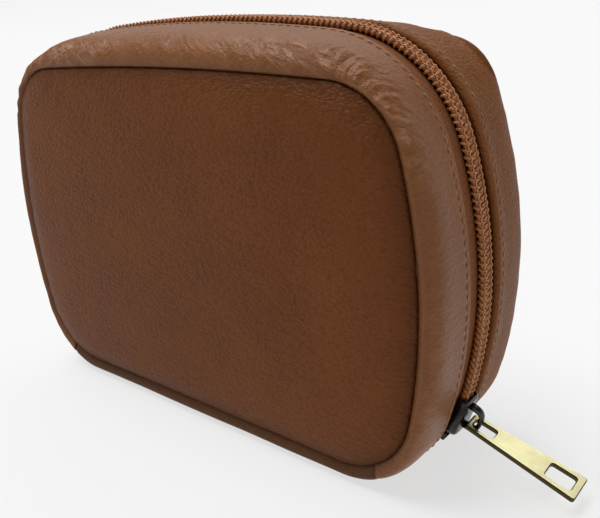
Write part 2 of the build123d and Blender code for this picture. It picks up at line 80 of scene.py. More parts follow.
# %% Camera
CAMERA_AZIMUTH = math.radians(40.0)
CAMERA_ELEVATION = math.radians(20.41)
CAMERA_ROLL = math.radians(-3.41)
CAMERA_OFFSET = np.array([16.7, 45.7, 268.5])
FOCAL_PIXELS = 738.2
IMAGE_WIDTH = 600
SENSOR_WIDTH = 36.0


def camera_axes():
    """Right, up and back directions of the camera as rows, turned by the roll about its view."""
    right = np.array([math.cos(CAMERA_AZIMUTH), math.sin(CAMERA_AZIMUTH), 0])
    flat = np.array([math.sin(CAMERA_AZIMUTH), -math.cos(CAMERA_AZIMUTH), 0])
    back = flat * math.cos(CAMERA_ELEVATION) + np.array([0, 0, math.sin(CAMERA_ELEVATION)])
    up = np.cross(back, right)
    cosine, sine = math.cos(CAMERA_ROLL), math.sin(CAMERA_ROLL)
    return np.array([cosine * right + sine * up, cosine * up - sine * right, back])


def put(name, data, axes, place):
    """An object from its data, with its axes given as rows, at a place in metres."""
    item = bpy.data.objects.new(name, data)
    turned = Matrix([list(row) for row in axes.T]).to_4x4()
    turned.translation = place
    item.matrix_world = turned
    bpy.context.collection.objects.link(item)
    return item


def make_camera():
    """A perspective camera at the photograph's place and angle."""
    axes = camera_axes()
    data = bpy.data.cameras.new("photo_camera")
    data.sensor_width = SENSOR_WIDTH
    data.lens = FOCAL_PIXELS * SENSOR_WIDTH / IMAGE_WIDTH
    data.clip_start = 0.01
    data.clip_end = 200.0
    place = (axes.T @ CAMERA_OFFSET) * MM
    bpy.context.scene.camera = put("photo_camera", data, axes, place)
    print("camera at", place.round(3))


make_camera()

# %% [markdown]
# ## The bag's outline
# Seen from the front, the bag's outline is made of tangent arcs: a straight base, bottom
# corners, bulging sides, top corners and a gently arched top. Three outlines matter: the seam of
# the front panel, the zip line in the middle, and the seam of the back panel. A point on any of
# them is named by the distance s along the zip line from the middle of the base, so that the
# same s on all three outlines is one line across the band.

# %% Outlines
ZIP = dict(half_width=88.7, side_radius=130.0, top=127.0, top_radius=500.0, top_corner=41.0,
           bottom=-0.3, bottom_corner=26.0)
FRONT = dict(half_width=83.5, side_radius=164.0, top=115.5, top_radius=1100.0, top_corner=22.0,
             bottom=5.5, bottom_corner=24.0)
BACK = dict(half_width=85.0, side_radius=164.0, top=121.0, top_radius=1100.0, top_corner=16.0,
            bottom=5.5, bottom_corner=24.0)
BELLY = 57.0
SIDE_FULLNESS = 4.0
TOP_FULLNESS = 2.2
CORNER_FULLNESS = {-1: 2.2, 1: 2.0}
SEAM = {-1: FRONT, 1: BACK}
DEPTH = {-1: 27.6, 1: 27.0}


def stretches(shape):
    """The right half of an outline: where its base line ends, and its four arcs.

    Each arc is centre x, centre z, radius, first and last angle. A corner's centre is where two
    circles about the centres of its neighbours cross.
    """
    side_x = shape["half_width"] - shape["side_radius"]
    top_z = shape["top"] - shape["top_radius"]
    low_z = shape["bottom"] + shape["bottom_corner"]
    reach = shape["side_radius"] - shape["bottom_corner"]
    low_x = side_x + np.sqrt(reach**2 - (low_z - BELLY)**2)
    near = shape["side_radius"] - shape["top_corner"]
    far = shape["top_radius"] - shape["top_corner"]
    gap_x = -side_x
    gap_z = top_z - BELLY
    gap = np.hypot(gap_x, gap_z)
    along = (near**2 - far**2 + gap**2) / (2 * gap)
    across = np.sqrt(near**2 - along**2)
    high_x = side_x + (gap_x * along - gap_z * across) / gap
    high_z = BELLY + (gap_z * along + gap_x * across) / gap
    low_angle = np.arctan2(low_z - BELLY, low_x - side_x)
    high_angle = np.arctan2(high_z - BELLY, high_x - side_x)
    top_angle = np.arctan2(high_z - top_z, high_x)
    right_angle = np.pi / 2
    return low_x, [(low_x, low_z, shape["bottom_corner"], -right_angle, low_angle),
                   (side_x, BELLY, shape["side_radius"], low_angle, high_angle),
                   (high_x, high_z, shape["top_corner"], high_angle, top_angle),
                   (0.0, top_z, shape["top_radius"], top_angle, right_angle)]


def zip_knots():
    """Distances along the zip line, from the middle of the base, at which its stretches end."""
    low_x, turns = stretches(ZIP)
    lengths = [low_x] + [radius * (last - first) for x, z, radius, first, last in turns]
    return np.concatenate([[0.0], np.cumsum(lengths)])


KNOTS = zip_knots()
HALF_LOOP = KNOTS[-1]


def ring(shape, s):
    """Points x, z and outward angle of an outline at distances s along the zip line.

    A stretch of the outline is shared out evenly over the same stretch of the zip line. The left
    half mirrors the right. Sizes in shape may be columns, which gives one row of points each.
    """
    s = np.mod(s, 2 * HALF_LOOP)
    mirrored = s > HALF_LOOP
    distance = np.where(mirrored, 2 * HALF_LOOP - s, s)
    stretch = np.clip(np.searchsorted(KNOTS, distance, side="right") - 1, 0, 4)
    share = (distance - KNOTS[stretch]) / (KNOTS[stretch + 1] - KNOTS[stretch])
    low_x, turns = stretches(shape)
    x = low_x * share
    z = shape["bottom"] + 0 * x
    angle = 0 * x - np.pi / 2
    for index, (centre_x, centre_z, radius, first, last) in enumerate(turns):
        turned = first + (last - first) * share
        here = stretch == index + 1
        x = np.where(here, centre_x + radius * np.cos(turned), x)
        z = np.where(here, centre_z + radius * np.sin(turned), z)
        angle = np.where(here, turned, angle)
    return np.where(mirrored, -x, x), z, np.where(mirrored, np.pi - angle, angle)


def from_place(s, at):
    """How far s is from a place on the right half, or from that place's mirror image."""
    return np.minimum(np.abs(s - at), np.abs(2 * HALF_LOOP - s - at))


print("half loop", round(float(HALF_LOOP), 1), "mm, knots", KNOTS.round(1))

# %% [markdown]
# ## The padded skin
# Between a seam and the zip the band swells like a pillow's edge. Its section is a
# superellipse: at a share t of the depth it has swelled by (1 - t^p)^(1/p). A high p gives the
# full side, a low p the flatter top. The same rule, moved inward, gives every layer under it.

# %% Skin
def swollen(side, share):
    """Sizes of the band's outline at shares of the depth: 1 at the seam and 0 at the zip."""
    powers = dict(top=TOP_FULLNESS, top_radius=TOP_FULLNESS, top_corner=CORNER_FULLNESS[side])
    shape = {}
    for name, at_seam in SEAM[side].items():
        power = powers.get(name, SIDE_FULLNESS)
        shape[name] = at_seam + (ZIP[name] - at_seam) * (1 - share**power)**(1 / power)
    return shape


def grow(shape, distance):
    """An outline moved outward by a distance, with every arc about the same centre."""
    grown = {name: value + distance for name, value in shape.items()}
    grown["bottom"] = shape["bottom"] - distance
    return grown


def skin(side, share, s, inset=0.0):
    """Grid of points of the skin, moved inward by an inset, and the outward directions in XZ."""
    share = np.clip(share, 0, 1)
    x, z, angle = ring(grow(swollen(side, share), -inset), s)
    y = side * share * (DEPTH[side] - inset) + 0 * x
    outward = np.stack([np.cos(angle), 0 * x, np.sin(angle)], axis=-1)
    return np.stack([x, y, z], axis=-1), outward + 0 * x[..., None]


def distances(line):
    """How far each point of a line is from its first point, along the line."""
    steps = np.linalg.norm(np.diff(line, axis=0), axis=1)
    return np.concatenate([[0], np.cumsum(steps)])


def even_shares(side, last_share, count, at=0.5 * HALF_LOOP):
    """Shares of the depth that are evenly spaced along the section at one place, seam first."""
    fine = np.cos(np.linspace(0, 1, 4000)**2 * math.acos(last_share))
    length = distances(skin(side, fine[:, None], np.array([at]))[0][:, 0])
    return np.interp(np.linspace(0, length[-1], count), length, fine), length[-1]


# %% [markdown]
# Leather is never smooth where it is gathered. Wrinkles are noise: a lattice of random slopes
# blended smoothly. The absolute value of such noise has sharp valleys and round hills, which is
# what puckered leather looks like, and squeezing one axis makes the folds run one way.

# %% Noise
def random_share(x, y, seed):
    """A pseudo-random number from 0 to 1 for whole numbers x and y: the fraction of a big sine."""
    value = np.sin(x * 127.1 + y * 311.7 + seed * 74.7) * 43758.5453
    return value - np.floor(value)


def noise(x, y, seed):
    """Gradient noise, about -0.7 to 0.7: random slopes at whole points, blended smoothly."""
    x0, y0 = np.floor(x), np.floor(y)
    total = 0 * (x + y)
    for step_x in (0, 1):
        for step_y in (0, 1):
            turn = 2 * np.pi * random_share(x0 + step_x, y0 + step_y, seed)
            off_x, off_y = x - x0 - step_x, y - y0 - step_y
            near_x, near_y = 1 - np.abs(off_x), 1 - np.abs(off_y)
            fade = near_x**3 * (near_x * (6 * near_x - 15) + 10)
            fade = fade * near_y**3 * (near_y * (6 * near_y - 15) + 10)
            total = total + fade * (np.cos(turn) * off_x + np.sin(turn) * off_y)
    return total


def folds(x, y, seed):
    """Puckers from 0 in the valleys to about 1 on the hills: noise made absolute, two sizes."""
    return 1.6 * np.abs(noise(x, y, seed)) + 0.7 * np.abs(noise(2.1 * x + 5.3, 1.7 * y, seed + 9))


def bump_at(value, middle, width):
    """A smooth hill of height 1 about a middle."""
    return np.exp(-((value - middle) / width)**2)


def smooth_step(value):
    """A ramp from 0 to 1 with level ends: 3 v^2 - 2 v^3 between 0 and 1."""
    held = np.clip(value, 0, 1)
    return held**2 * (3 - 2 * held)


# %% [markdown]
# ## Meshes from grids
# Every soft piece is a grid of points. These helpers turn a grid into a mesh whose faces point
# outward, with a UV map in metres along the grid where the material follows the surface.

# %% Mesh helpers
def link_mesh(name, points, faces, uv=None):
    """An object from points in millimetres and faces given as lists of equal length."""
    mesh = bpy.data.meshes.new(name)
    mesh.vertices.add(len(points))
    mesh.vertices.foreach_set("co", (points * MM).astype(np.float32).ravel())
    corners = np.concatenate([part.ravel() for part in faces])
    sizes = np.concatenate([np.full(len(part), part.shape[1]) for part in faces])
    mesh.loops.add(len(corners))
    mesh.loops.foreach_set("vertex_index", corners.astype(np.int32))
    mesh.polygons.add(len(sizes))
    mesh.polygons.foreach_set("loop_start", (np.cumsum(sizes) - sizes).astype(np.int32))
    mesh.update(calc_edges=True)
    mesh.polygons.foreach_set("use_smooth", np.ones(len(sizes), dtype=bool))
    if uv is not None:
        layer = mesh.uv_layers.new(name="UVMap")
        layer.data.foreach_set("uv", (uv[corners] * MM).astype(np.float32).ravel())
    piece = bpy.data.objects.new(name, mesh)
    bpy.context.collection.objects.link(piece)
    return piece


def grid_faces(rows, columns, closed=False, first=0):
    """Quads of a grid of points. A closed grid joins its last column to its first."""
    index = first + np.arange(rows * columns).reshape(rows, columns)
    right = np.roll(index, -1, axis=1) if closed else index[:, 1:]
    left = index if closed else index[:, :-1]
    return np.stack([left[:-1], right[:-1], right[1:], left[1:]], axis=-1).reshape(-1, 4)


def grid_normals(grid, closed=False):
    """Unit normals of a grid: the cross product of its slopes along columns and rows."""
    if closed:
        along = np.roll(grid, -1, axis=1) - np.roll(grid, 1, axis=1)
    else:
        along = np.gradient(grid, axis=1)
    normal = np.cross(along, np.gradient(grid, axis=0))
    return normal / np.maximum(np.linalg.norm(normal, axis=-1, keepdims=True), 1e-9)


def outward_normals(grid, outward):
    """Unit normals of an open grid, all turned round if most look against the outward way."""
    normal = grid_normals(grid)
    return normal * np.sign((normal * outward).sum())


def facing(faces, grid, outward, closed=False):
    """The lists of faces, turned round where the grid's normals look against the outward way."""
    turned = (grid_normals(grid, closed) * outward).sum() < 0
    return [part[:, ::-1] if turned else part for part in faces]


def from_grid(name, grid, outward, uv=None):
    """An object from an open grid of points (rows, columns, 3)."""
    quads = facing([grid_faces(*grid.shape[:2])], grid, outward)
    flat_uv = None if uv is None else uv.reshape(-1, 2)
    return link_mesh(name, grid.reshape(-1, 3), quads, flat_uv)


def from_disc(name, grid, outward):
    """An object from a closed grid whose first row closes in one point."""
    rows, columns = grid.shape[:2]
    points = np.concatenate([grid[0].mean(axis=0)[None], grid[1:].reshape(-1, 3)])
    around = 1 + np.arange(columns)
    fan = np.stack([0 * around, np.roll(around, -1), around], axis=-1)
    faces = facing([grid_faces(rows - 1, columns, True, 1), fan], grid, outward, True)
    return link_mesh(name, points, faces)


def from_tubes(name, rings, poles):
    """An object from equal tubes (count, rows, columns, 3), each closed by two poles."""
    count, rows, columns = rings.shape[:3]
    points = np.concatenate([rings.reshape(count, -1, 3), poles], axis=1)
    first = np.arange(columns)
    last = first + (rows - 1) * columns
    pole = 0 * first + rows * columns
    faces = [grid_faces(rows, columns, True), np.stack([pole, np.roll(first, -1), first], axis=-1),
             np.stack([pole + 1, last, np.roll(last, -1)], axis=-1)]
    shift = points.shape[1] * np.arange(count)[:, None, None]
    outward = rings[0] - rings[0].mean(axis=1, keepdims=True)
    faces = [(part + shift).reshape(-1, part.shape[1])
             for part in facing(faces, rings[0], outward, True)]
    return link_mesh(name, points.reshape(-1, 3), faces)


def from_tube(name, grid):
    """An object from the rings of one tube, closed at the middles of its end rings."""
    return from_tubes(name, grid[None], grid.mean(axis=1)[None, [0, -1]])


def mark(piece, name, values):
    """A number for each point of a piece, which its material reads by name."""
    layer = piece.data.attributes.new(name, "FLOAT", "POINT")
    layer.data.foreach_set("value", values.astype(np.float32).ravel())


def dress(piece, material, thickness=0.0):
    """Gives a piece its material and, if it is a sheet, its thickness on the inside."""
    piece.data.materials.append(material)
    if thickness:
        modifier = piece.modifiers.new("thickness", "SOLIDIFY")
        modifier.thickness = thickness * MM
        modifier.offset = -1
        modifier.use_even_offset = False
    return piece


# %% [markdown]
# ## Materials
# Each finish is a small node graph on Object coordinates, so that its scale is real: a pebble of
# the leather is about a millimetre. Leather has a pebble grain (a Voronoi pattern), fine pores
# (noise), creases (a stretched pattern) and slow changes of colour and gloss. Colours are
# triples of linear red, green and blue, and depths are in millimetres.

# %% Material helpers
def new_material(name, **inputs):
    """A material with one principled shader, whose sockets are set from the inputs."""
    material = bpy.data.materials.new(name)
    material.use_nodes = True
    shader = material.node_tree.nodes["Principled BSDF"]
    for label, value in inputs.items():
        shader.inputs[label.replace("_", " ")].default_value = value
    return material, material.node_tree, shader


def add_node(tree, kind, settings=None, **inputs):
    """A node with its settings and the values or links of its sockets; n2 is socket number 2."""
    node = tree.nodes.new(kind)
    for label, value in (settings or {}).items():
        setattr(node, label, value)
    for label, value in inputs.items():
        socket = node.inputs[int(label[1:]) if label[1:].isdigit() else label.replace("_", " ")]
        if isinstance(value, bpy.types.NodeSocket):
            tree.links.new(value, socket)
        else:
            socket.default_value = value
    return node


def object_place(tree, scale=(1, 1, 1), turn=0.0):
    """Object coordinates, turned about Y and then stretched, so that the stretch is slanted."""
    place = add_node(tree, "ShaderNodeTexCoord").outputs["Object"]
    return add_node(tree, "ShaderNodeMapping", {"vector_type": "TEXTURE"}, Vector=place,
                    Scale=[1.0 / value for value in scale], Rotation=(0.0, turn, 0.0)).outputs[0]


def moved(tree, place, way, amount):
    """Coordinates moved by an amount times a colour, which makes a pattern irregular."""
    return add_node(tree, "ShaderNodeVectorMath", {"operation": "MULTIPLY_ADD"}, n0=way,
                    n1=[amount] * 3, n2=place).outputs[0]


def clouds(tree, place, scale, detail, roughness=0.5, distortion=0.0):
    """The outputs of a noise pattern, Fac and Color."""
    return add_node(tree, "ShaderNodeTexNoise", Vector=place, Scale=scale, Detail=detail,
                    Roughness=roughness, Distortion=distortion).outputs


def sum_of(tree, *terms):
    """The sum of products, each given as two factors."""
    total = 0.0
    for first, second in terms:
        total = add_node(tree, "ShaderNodeMath", {"operation": "MULTIPLY_ADD"}, n0=first,
                         n1=second, n2=total).outputs[0]
    return total


def mix_colour(tree, share, *colours):
    """Two colours, each a triple or a link, mixed by a share."""
    first, second = [colour if isinstance(colour, bpy.types.NodeSocket) else (*colour, 1.0)
                     for colour in colours]
    return add_node(tree, "ShaderNodeMix", {"data_type": "RGBA"}, n0=share, n6=first,
                    n7=second).outputs[2]


def scaled(colour, *factors):
    """A colour times one factor, or times a factor for each of its three parts."""
    return [value * factor for value, factor in zip(colour, factors * 3)]


def map_range(tree, value, low, high, to_low=0.0, to_high=1.0):
    """A value carried from one range to another, held at its ends."""
    return add_node(tree, "ShaderNodeMapRange", Value=value, From_Min=low, From_Max=high,
                    To_Min=to_low, To_Max=to_high).outputs[0]


def surfaced(made, colour, height, depth, strength=1.0, gloss=None):
    """A new material with its colour, a bump of a depth and, if given, its roughness linked."""
    material, tree, shader = made
    bump = add_node(tree, "ShaderNodeBump", Height=height, Distance=depth * MM, Strength=strength)
    links = {"Base Color": colour, "Normal": bump.outputs[0], "Roughness": gloss}
    for label, value in links.items():
        if value is not None:
            tree.links.new(value, shader.inputs[label])
    return material


# %% Leather
def leather(name, dark, light, depths, crease_turn, roughness, specular):
    """Pebbled leather between two colours, with pores, creases and a changing gloss.

    The depths are those of the pebbles, the pores and the creases. The grain is deeper in some
    patches than in others, as on a real hide. Two numbers on the mesh guide it: the first is
    painted shade, which darkens the colour down in a seam; the second raises gathers on the ridge
    and paints a highlight, a pale colour, on their crests.
    """
    made = new_material(name, Roughness=roughness, Specular_IOR_Level=specular)
    tree = made[1]
    place = object_place(tree)
    loose = moved(tree, place, clouds(tree, place, 700.0, 2.0)["Color"], 0.0011)
    long_cells = add_node(tree, "ShaderNodeMapping", Vector=loose, Scale=(0.6, 0.7, 1.25))
    pebble = add_node(tree, "ShaderNodeTexVoronoi", {"feature": "SMOOTH_F1"},
                      Vector=long_cells.outputs[0], Scale=1250.0,
                      Smoothness=0.5).outputs["Distance"]
    pore = clouds(tree, place, 2400.0, 3.0)["Fac"]
    patch = clouds(tree, place, 30.0, 5.0, 0.6)["Fac"]
    warp = clouds(tree, place, 75.0, 2.0)
    long_lines = object_place(tree, (150.0, 150.0, 760.0), crease_turn)
    crease = clouds(tree, moved(tree, long_lines, warp["Color"], 2.2), 1.0, 3.0, 0.55)["Fac"]
    slanted = object_place(tree, (120.0, 260.0, 620.0), 0.45)
    streak = clouds(tree, slanted, 1.0, 5.0, 0.6, 0.6)["Fac"]
    # Two numbers on the mesh: painted shade in the seams, and the gathers with their painted
    # highlight.
    painted_shade, gathers_and_highlight = [add_node(tree, "ShaderNodeAttribute", {"attribute_name": word}).outputs["Fac"]
                 for word in ("painted_shade", "gathers_and_highlight")]
    colour = mix_colour(tree, map_range(tree, patch, 0.34, 0.66), dark, light)
    pit = map_range(tree, pebble, 0.4, 0.8, 0.0, 0.4)
    colour = mix_colour(tree, pit, colour, scaled(dark, 0.6))
    # Painted shade: the colour darkens down in a seam, by the mesh's first number.
    colour = mix_colour(tree, painted_shade, colour, scaled(dark, 0.3))
    # Painted highlight: a pale colour on the crests of the gathers, where gloss would shine.
    painted_highlight = sum_of(tree, (map_range(tree, streak, 0.5, 0.72, 0.0, 0.6), gathers_and_highlight))
    colour = mix_colour(tree, painted_highlight, colour, scaled(light, 2.5, 4.0, 8.0))
    gloss = map_range(tree, patch, 0.3, 0.7, roughness - 0.06, roughness + 0.07)
    uneven = map_range(tree, warp["Fac"], 0.35, 0.65, 0.45, 1.0)
    grain = sum_of(tree, (pebble, -depths[0]), (pore, depths[1]))
    gathers = sum_of(tree, (streak, 1.3))
    height = sum_of(tree, (grain, uneven), (crease, depths[2]), (gathers, gathers_and_highlight))
    return surfaced(made, colour, height, 1.0, gloss=gloss)


PANEL_LEATHER = leather("panel_leather", (0.116, 0.032, 0.006), (0.144, 0.044, 0.009),
                        (0.48, 0.09, 0.4), 0.12, 0.42, 0.09)
FRONT_LEATHER = leather("band_leather", (0.18, 0.065, 0.02), (0.22, 0.082, 0.026),
                        (0.14, 0.05, 0.24), 0.42, 0.35, 0.15)
BACK_LEATHER = leather("back_leather", (0.17, 0.06, 0.018), (0.208, 0.076, 0.023),
                       (0.36, 0.06, 0.2), 0.3, 0.42, 0.06)
# The base strip's colour: in part a darker leather, in part painted shade under the bag.
BASE_LEATHER_WITH_PAINTED_SHADE = leather("base_leather", (0.075, 0.03, 0.0115), (0.097, 0.04, 0.016),
                       (0.12, 0.05, 0.22), 0.12, 0.5, 0.1)
BAND_LEATHER = {-1: FRONT_LEATHER, 1: BACK_LEATHER}

# %% [markdown]
# Cloth, thread and metal are simpler graphs. The tape's weave follows its UV map, which runs
# along the zip, so that it bends round the corners with it.

# %% Cloth, thread, board and metal
def woven(name, dark, light, pitch, roughness):
    """A woven cloth: two crossed sets of waves along the UV map, one for each set of yarns."""
    made = new_material(name, Roughness=roughness, Specular_IOR_Level=0.25)
    tree = made[1]
    turns = 1.0 / (pitch * MM)
    place = add_node(tree, "ShaderNodeMapping", Scale=(turns, turns, 1),
                     Vector=add_node(tree, "ShaderNodeTexCoord").outputs["UV"]).outputs[0]
    yarns = [add_node(tree, "ShaderNodeTexWave", {"bands_direction": way}, Vector=place,
                      Scale=0.314, Distortion=0.4).outputs["Fac"] for way in "XY"]
    weave = add_node(tree, "ShaderNodeMath", {"operation": "MAXIMUM"}, n0=yarns[0],
                     n1=yarns[1]).outputs[0]
    fuzz = clouds(tree, object_place(tree), 1500.0, 3.0)["Fac"]
    colour = mix_colour(tree, sum_of(tree, (weave, fuzz)), dark, light)
    return surfaced(made, colour, weave, 0.12, 0.9)


def nylon(name, dark, light, roughness):
    """Nylon or polyester filament: a soft gloss with a little change of colour."""
    made = new_material(name, Roughness=roughness, Specular_IOR_Level=0.5)
    tree = made[1]
    patch = clouds(tree, object_place(tree), 420.0, 3.0)["Fac"]
    twist = clouds(tree, object_place(tree), 5200.0, 2.0)["Fac"]
    colour = mix_colour(tree, map_range(tree, patch, 0.3, 0.7), dark, light)
    return surfaced(made, colour, twist, 0.03, 0.6)


def metal(name, bright, tarnish, roughness, tarnish_at):
    """Plated metal: bright faces, tarnish in patches, fine brushing in the gloss."""
    made = new_material(name, Metallic=1.0, Roughness=roughness)
    tree = made[1]
    patch = clouds(tree, object_place(tree), 160.0, 6.0, 0.65)["Fac"]
    dull = map_range(tree, patch, tarnish_at, tarnish_at + 0.22)
    colour = mix_colour(tree, dull, bright, tarnish)
    brushed = clouds(tree, object_place(tree, (300, 2500, 2500)), 1.0, 3.0)["Fac"]
    gloss = map_range(tree, brushed, 0.3, 0.7, roughness - 0.06, roughness + 0.1)
    return surfaced(made, colour, brushed, 0.012, 0.5, gloss)


def antique_brass(name, plate_way, bright, plating, roughness):
    """Antique brass: the broad faces are rubbed bright, the edges keep their dark plating.

    How bright a place is follows |n . w|, its own normal n against the way w that the plate
    faces, so that the pattern turns with the piece.
    """
    made = new_material(name, Metallic=1.0, Roughness=roughness)
    tree = made[1]
    normal = add_node(tree, "ShaderNodeTexCoord").outputs["Normal"]
    square = add_node(tree, "ShaderNodeVectorMath", {"operation": "DOT_PRODUCT"}, n0=normal,
                      n1=plate_way).outputs["Value"]
    square = add_node(tree, "ShaderNodeMath", {"operation": "ABSOLUTE"}, n0=square).outputs[0]
    worn = clouds(tree, object_place(tree), 95.0, 4.0, 0.55)["Fac"]
    face = mix_colour(tree, map_range(tree, worn, 0.42, 0.7, 0.0, 0.6), bright, scaled(bright, 0.6))
    colour = mix_colour(tree, map_range(tree, square, 0.82, 0.97), plating, face)
    brushed = clouds(tree, object_place(tree, (180, 3200, 900)), 1.0, 3.0)["Fac"]
    gloss = map_range(tree, brushed, 0.3, 0.7, roughness - 0.04, roughness + 0.08)
    return surfaced(made, colour, brushed, 0.003, 0.5, gloss)


def foam(name, colour):
    """Open-cell foam: small cells that read as pits."""
    made = new_material(name, Roughness=0.95)
    cells = add_node(made[1], "ShaderNodeTexVoronoi", Vector=object_place(made[1]), Scale=1400.0)
    pits = cells.outputs["Distance"]
    return surfaced(made, mix_colour(made[1], pits, colour, scaled(colour, 0.6)), pits, 0.2)


TAB_DROOP = math.radians(17.0)
TAB_TWIST = math.radians(7.0)
TAB_PLATE_WAY = (math.sin(TAB_DROOP) * math.cos(TAB_TWIST), -math.sin(TAB_TWIST),
                 math.cos(TAB_DROOP) * math.cos(TAB_TWIST))
LINING_CLOTH = woven("lining_cloth", (0.03, 0.018, 0.011), (0.075, 0.046, 0.03), 0.55, 0.7)
ZIP_TAPE = woven("zip_tape", (0.13, 0.042, 0.013), (0.33, 0.115, 0.037), 0.62, 0.75)
ZIP_COIL = nylon("zip_coil", (0.26, 0.084, 0.022), (0.4, 0.145, 0.04), 0.36)
COIL_THREAD = nylon("coil_thread", (0.4, 0.155, 0.048), (0.55, 0.24, 0.08), 0.5)
LEATHER_THREAD = nylon("leather_thread", (0.21, 0.085, 0.029), (0.31, 0.13, 0.048), 0.55)
PADDING = foam("padding", (0.72, 0.7, 0.62))
BOARD = foam("board", (0.2, 0.19, 0.17))
SLIDER_METAL = metal("slider_metal", (0.055, 0.052, 0.046), (0.02, 0.019, 0.018), 0.24, 0.5)
TAB_BRASS = antique_brass("tab_brass", TAB_PLATE_WAY, (0.8, 0.75, 0.43), (0.07, 0.054, 0.024), 0.3)
print("materials", len(bpy.data.materials))

# %% [markdown]
# ## Letting the cloth settle
# Stuffed leather is a cloth problem: a piece cut a little too long, sewn down along its edges
# and pushed out by the padding finds its own wrinkles. The simulation works on a copy that is
# ten times as large, because Blender's cloth is tuned for clothes, and only the way that each
# point moved is kept. It is capped, so that no wrinkle leaves the padding.

# %% Cloth
CLOTH_SCALE = 10.0
CLOTH_FRAMES = 20


def settle(points, faces, pinned, pressure, growth, cap):
    """How far each point moves as the cloth settles, in millimetres.

    The rest lengths grow by a share, the pressure pushes along the normals, and the pinned
    points stay. A move d becomes cap * tanh(|d| / cap) long, so that none is over the cap.
    """
    trial = link_mesh("cloth_trial", points * CLOTH_SCALE, faces)
    trial.vertex_groups.new(name="sewn").add([int(index) for index in pinned], 1.0, "REPLACE")
    modifier = trial.modifiers.new("cloth", "CLOTH")
    settings = modifier.settings
    settings.quality = 6
    settings.mass = 0.4
    settings.tension_stiffness = settings.compression_stiffness = 30.0
    settings.shear_stiffness = 12.0
    settings.bending_stiffness = 6.0
    settings.air_damping = 2.0
    settings.shrink_min = -growth
    settings.use_pressure = True
    settings.uniform_pressure_force = pressure
    settings.vertex_group_mass = "sewn"
    settings.effector_weights.gravity = 0.0
    scene = bpy.context.scene
    for moment in range(1, CLOTH_FRAMES + 1):
        scene.frame_set(moment)
    settled = trial.evaluated_get(bpy.context.evaluated_depsgraph_get()).to_mesh()
    after = np.zeros(len(points) * 3, dtype=np.float32)
    settled.vertices.foreach_get("co", after)
    scene.frame_set(1)
    bpy.data.objects.remove(trial)
    move = after.reshape(-1, 3) / (CLOTH_SCALE * MM) - points
    far = np.linalg.norm(move, axis=1, keepdims=True)
    print("cloth moved up to", round(float(far.max()), 2), "mm, mean", round(float(far.mean()), 2))
    return move * cap * np.tanh(far / cap) / np.maximum(far, 1e-9)


def read_row(grid, place):
    """Rows of a grid at places between whole rows, straight between them."""
    low = np.minimum(place.astype(int), len(grid) - 2)
    part = (place - low).reshape(-1, *[1] * (grid.ndim - 1))
    return grid[low] * (1 - part) + grid[low + 1] * part


def finer(grid, rows, columns):
    """A grid of vectors read at more rows and columns, then smoothed both ways."""
    for count in (rows, columns):
        grid = read_row(grid, np.linspace(0, len(grid) - 1, count)).swapaxes(0, 1)
    for turn in range(2):
        grid[1:-1] = (grid[:-2] + 2 * grid[1:-1] + grid[2:]) / 4
        grid = grid.swapaxes(0, 1)
    return grid


# %% [markdown]
# ## The bands
# A band is one strip of leather. It starts down in the seam, rolls over the padded edge, runs to
# the zip, folds under along it and comes back as a hem. The grid has one row per place on that
# path and one column per place round the bag. Wrinkles are pushed along the surface's normal:
# short puckers at the seam, longer folds where the strip is gathered round a top corner.

# %% Sizes of the bands and their seams
BASE_SEAM = float(KNOTS[1]) + 13.5
TOP_CORNER_AT = float((KNOTS[3] + KNOTS[4]) / 2)
ZIP_GAP = {-1: 8.2, 1: 6.5}
FOLD_RADIUS = {-1: 0.8, 1: 1.15}
FOLD_RISE = {-1: 0.1, 1: 0.7}
TURNED_EDGE = 9.5
SEAM_DIP = 1.9
SEAM_ROLL = 4.0
FLANGE = 1.4
STITCH_SETBACK = {-1: 2.1, 1: 3.4}
GATHERED = {-1: 1.0, 1: 0.3}
# How strong the gathers and their painted highlight are: at the top corners, and everywhere.
GATHERS_AND_HIGHLIGHT = {-1: (1.0, 0.22), 1: (0.25, 0.05)}
# How strong the painted seam shade is on each band.
PAINTED_SHADE_STRENGTH = {-1: 1.0, 1: 0.6}
LOOSE = {-1: 1.0, 1: 0.45}
BAND_COLUMNS = 740
BAND_ROWS = 48
BAND_THICKNESS = 0.7
BAND_PRESSURE = 2.5
BAND_GROWTH = 0.03
BAND_CAP = 0.8
FLANGE_ROWS = 4
FOLD_ROWS = 8
HEM_ROWS = 7
CLOTH_ROWS = 22
CLOTH_COLUMNS = 330
DEPTH_WAY = np.array([0.0, 1.0, 0.0])
band_faces = {}


def round_the_zip(count, past=0.0):
    """Places from one end of the bands to the other, or a little past both ends."""
    return np.linspace(BASE_SEAM - past, 2 * HALF_LOOP - BASE_SEAM + past, count)


def valley(distance, reach):
    """Depth of the valley beside a seam: half a sharp dip of 1.2 mm and half a wide soft one."""
    return 0.5 * SEAM_DIP * (np.exp(-distance / 1.2) + np.exp(-(distance / reach)**2))


def seam_painted_shade(distance):
    """Painted shade beside a seam: how much the colour darkens, from 0.6 in it to nothing."""
    return 0.32 * np.exp(-distance / 1.3) + 0.28 * np.exp(-(distance / 5)**2)


def corner_share(s):
    """How near a place round the bag is to a top corner, from 0 to 1."""
    return np.exp(-(from_place(s, TOP_CORNER_AT) / 30)**2)


def wide_corner_share(s):
    """From 0 to 1 over the top corners and the ends of the top between them."""
    return np.exp(-(from_place(s, TOP_CORNER_AT + 14) / 34)**4)


def edge_rise(side, from_edge):
    """How much the folded edge stands up, at a distance from it."""
    return FOLD_RISE[side] * np.exp(-(from_edge / 3.5)**2)


def flange_rows(edge, way):
    """Rows that lead from inside a seam up to an edge, against a way."""
    return edge + np.linspace(FLANGE, 0, FLANGE_ROWS, endpoint=False)[:, None, None] * way


